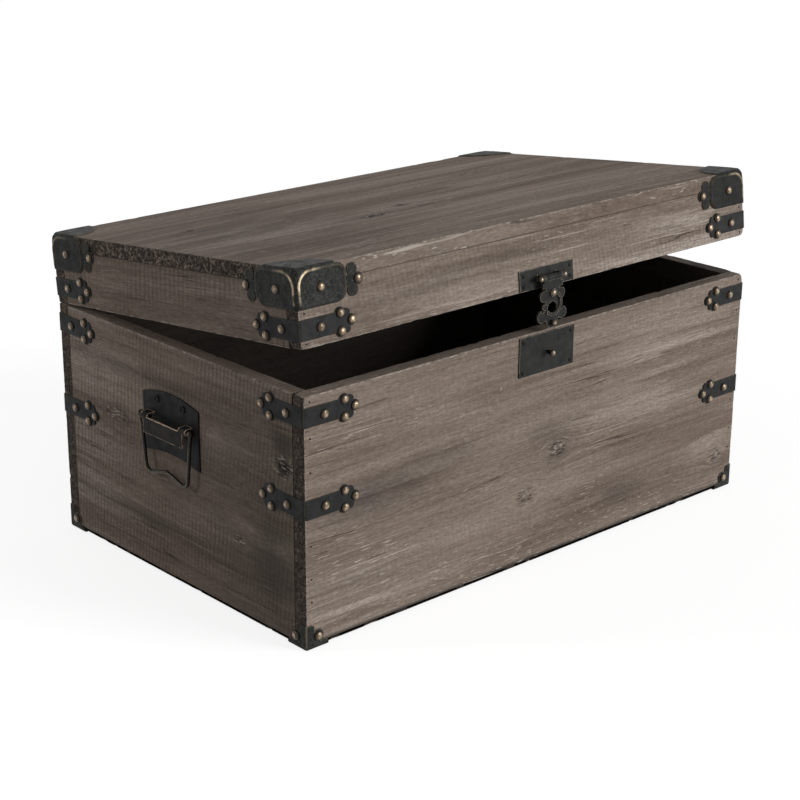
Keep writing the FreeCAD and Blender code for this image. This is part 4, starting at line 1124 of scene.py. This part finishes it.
make_board(
    "lid_top_board", "lid", X, Z, 1, rough=1.8, tight=[(Z, LOW)], capped=True,
    knots=[
        knot(-101, -49, 7, TORN, HOLED), knot(-27, -19, 7, ROUND, HOLED), knot(-260, 76, 6, ROUND, HOLED),
        knot(180, 90, 7, TORN),
    ],
    stains_and_shade=[
        smudge(-101, -49, 24, 4, 0.9), smudge(90, -120, 160, 14, 0.4), smudge(-250, 20, 220, 260, 0.50),
        # The strong patch at the right end is painted shade of a chipped dip that the board's shape doesn't
        # have.
        smudge(352, 0, 12, 48, 1.2),
    ],
    pales_and_light=[
        smudge(0, 0, 500, 400, 0.26), smudge(-250, -60, 160, 150, 0.45), smudge(120, 20, 220, 40, 0.30),
    ],
)
make_board("base_floor_panel", "base", X, Z, 1, rough=0.0, slot="dark_wood")

# Hardware

for body in ("base", "lid"):
    make_heads(body + "_nails", body, NAIL_BRONZE, "nail_bronze", dome_profile())
make_heads("handle_rivets", "base", DARK_IRON, "dark_rivet_iron", RIVET_PROFILE)
make_heads("hasp_stud", "base", STUD_BRONZE, "hasp_bronze", stud_profile())

STRAP_DROPS = np.linspace(-STRAP_GRID_HALF, STRAP_GRID_HALF, STRAP_GRID_LINES)
for corner in CORNERS:
    for kind, body in (("lid_strap_", "lid"), ("base_upper_strap_", "base"), ("base_middle_strap_", "base")):
        level = middle_level(kind + corner, body)
        corner_iron(
            kind + corner, body, level, 1, strap_outline, plain_relief, STRAP_TIP + STRAP_LOBE_R, STRAP_DROPS,
        )
    corner_iron(
        "lid_corner_cap_" + corner, "lid", LID_HIGH, -1, lid_cap_outline, lid_cap_relief, CAP_TIP + CAP_TIP_R,
        grid_lines(CAP_DROP), CAP_TOP_R, BLUNT_RADIUS, CAP_RUB_AND_SHADE.get(corner, LITTLE_WEAR),
    )
    corner_iron(
        "base_corner_cap_" + corner, "base", SHEET * MM, 1, base_cap_outline, plain_relief, FOOT_TONGUE,
        grid_lines(FOOT_RISE), FOOT_TONGUE,
    )

paint(HASP_IRON, "hasp_base_plate", "hasp_lid_plate", "hasp", "hasp_catch")
# The hasp plates' nails are painted near black, partly as painted shade of the recessed holes they stand for.
paint(DARK_IRON, "hasp_base_plate_nails", "hasp_lid_plate_nails", "base_brads", "lid_brads")
paint(HASP_BRONZE, "hasp_pin", "hasp_knob", "hasp_catch_rivet")
for side in ("left", "right"):
    paint(HANDLE_IRON, side + "_handle_plate")
    paint(BRACKET_IRON, side + "_handle_bracket")
    paint(BAIL_BRONZE, side + "_handle_bail")
    paint(HASP_IRON, side + "_hinge_base_leaf", side + "_hinge_lid_leaf")
paint(DARK_IRON, "hinge_pins", "base_hinge_screws", "lid_hinge_screws")


# Stage

WHITE = (1, 1, 1, 1)
FLOOR_SIZE = 60.0
FLOOR_ALBEDO = shade(168, 168, 168)
FLOOR_GLOW = 0.80
FILL_STRENGTH = 0.32
KEY_STRENGTH = 2.45
KEY_FROM = Vector((0.50, -0.82, 0.25))
KEY_SPREAD = math.radians(32)
SIDE_POWER = 5.0
SIDE_PLACE = Vector((-1.70, 0.85, 0.95))
SIDE_AIM = Vector((-0.15, 0.05, 0.20))
SIDE_SIZE = 0.28


def seen_directly(s):
    """1 for rays from the camera, a reflection or a transmission, 0 for light that falls on things."""
    path = s.add("ShaderNodeLightPath").outputs
    seen = s.math("MAXIMUM", path["Is Camera Ray"], path["Is Glossy Ray"])
    return s.math("MAXIMUM", seen, path["Is Transmission Ray"])


def make_floor():
    """White floor that keeps a soft shadow."""
    mesh = bpy.data.meshes.new("floor")
    half = FLOOR_SIZE / 2
    corners = [(-half, -half, 0), (half, -half, 0), (half, half, 0), (-half, half, 0)]
    mesh.from_pydata(corners, [], [(0, 1, 2, 3)])
    material = bpy.data.materials.new("floor")
    s = Shader(material)
    s.feed(
        s.surface,
        Base_Color=FLOOR_ALBEDO,
        Roughness=1.0,
        Specular_IOR_Level=0.0,
        Emission_Color=WHITE,
        Emission_Strength=s.times(seen_directly(s), FLOOR_GLOW),
    )
    mesh.materials.append(material)
    floor = put_in_scene("floor", mesh)


def make_world():
    """White where it is seen directly, and an even soft fill light everywhere else."""
    world = bpy.data.worlds.new("studio")
    bpy.context.scene.world = world
    s = Shader(world, "ShaderNodeBackground", "ShaderNodeOutputWorld")
    strength = s.add("ShaderNodeMapRange")
    s.feed(strength, Value=seen_directly(s), To_Min=FILL_STRENGTH, To_Max=1.0)
    s.feed(s.surface, Color=WHITE, Strength=strength.outputs["Result"])


def make_lamp(name, kind, energy, toward, **settings):
    """A lamp whose light comes from the side it is turned toward."""
    lamp = bpy.data.lights.new(name, kind)
    lamp.energy = energy
    for key, value in settings.items():
        setattr(lamp, key, value)
    made = put_in_scene(name, lamp)
    made.rotation_euler = toward.to_track_quat("Z", "Y").to_euler()
    return made


def make_camera():
    lens = bpy.data.cameras.new("camera")
    lens.sensor_width = SENSOR_MM
    lens.lens = FOCAL_PIXELS / IMAGE_PIXELS * SENSOR_MM
    made = put_in_scene("camera", lens)
    up = CAMERA_RIGHT.cross(CAMERA_FORWARD)
    turn = Matrix((CAMERA_RIGHT, up, -CAMERA_FORWARD)).transposed()
    made.matrix_world = Matrix.Translation(CAMERA_PLACE) @ turn.to_4x4()
    bpy.context.scene.camera = made


make_floor()
make_world()
make_lamp("key", "SUN", KEY_STRENGTH, KEY_FROM, angle=KEY_SPREAD)
softbox = make_lamp("side", "AREA", SIDE_POWER, SIDE_PLACE - SIDE_AIM, shape="DISK", size=SIDE_SIZE)
softbox.location = SIDE_PLACE
make_camera()
bpy.context.scene.view_settings.view_transform = "Standard"

bpy.context.view_layer.update()
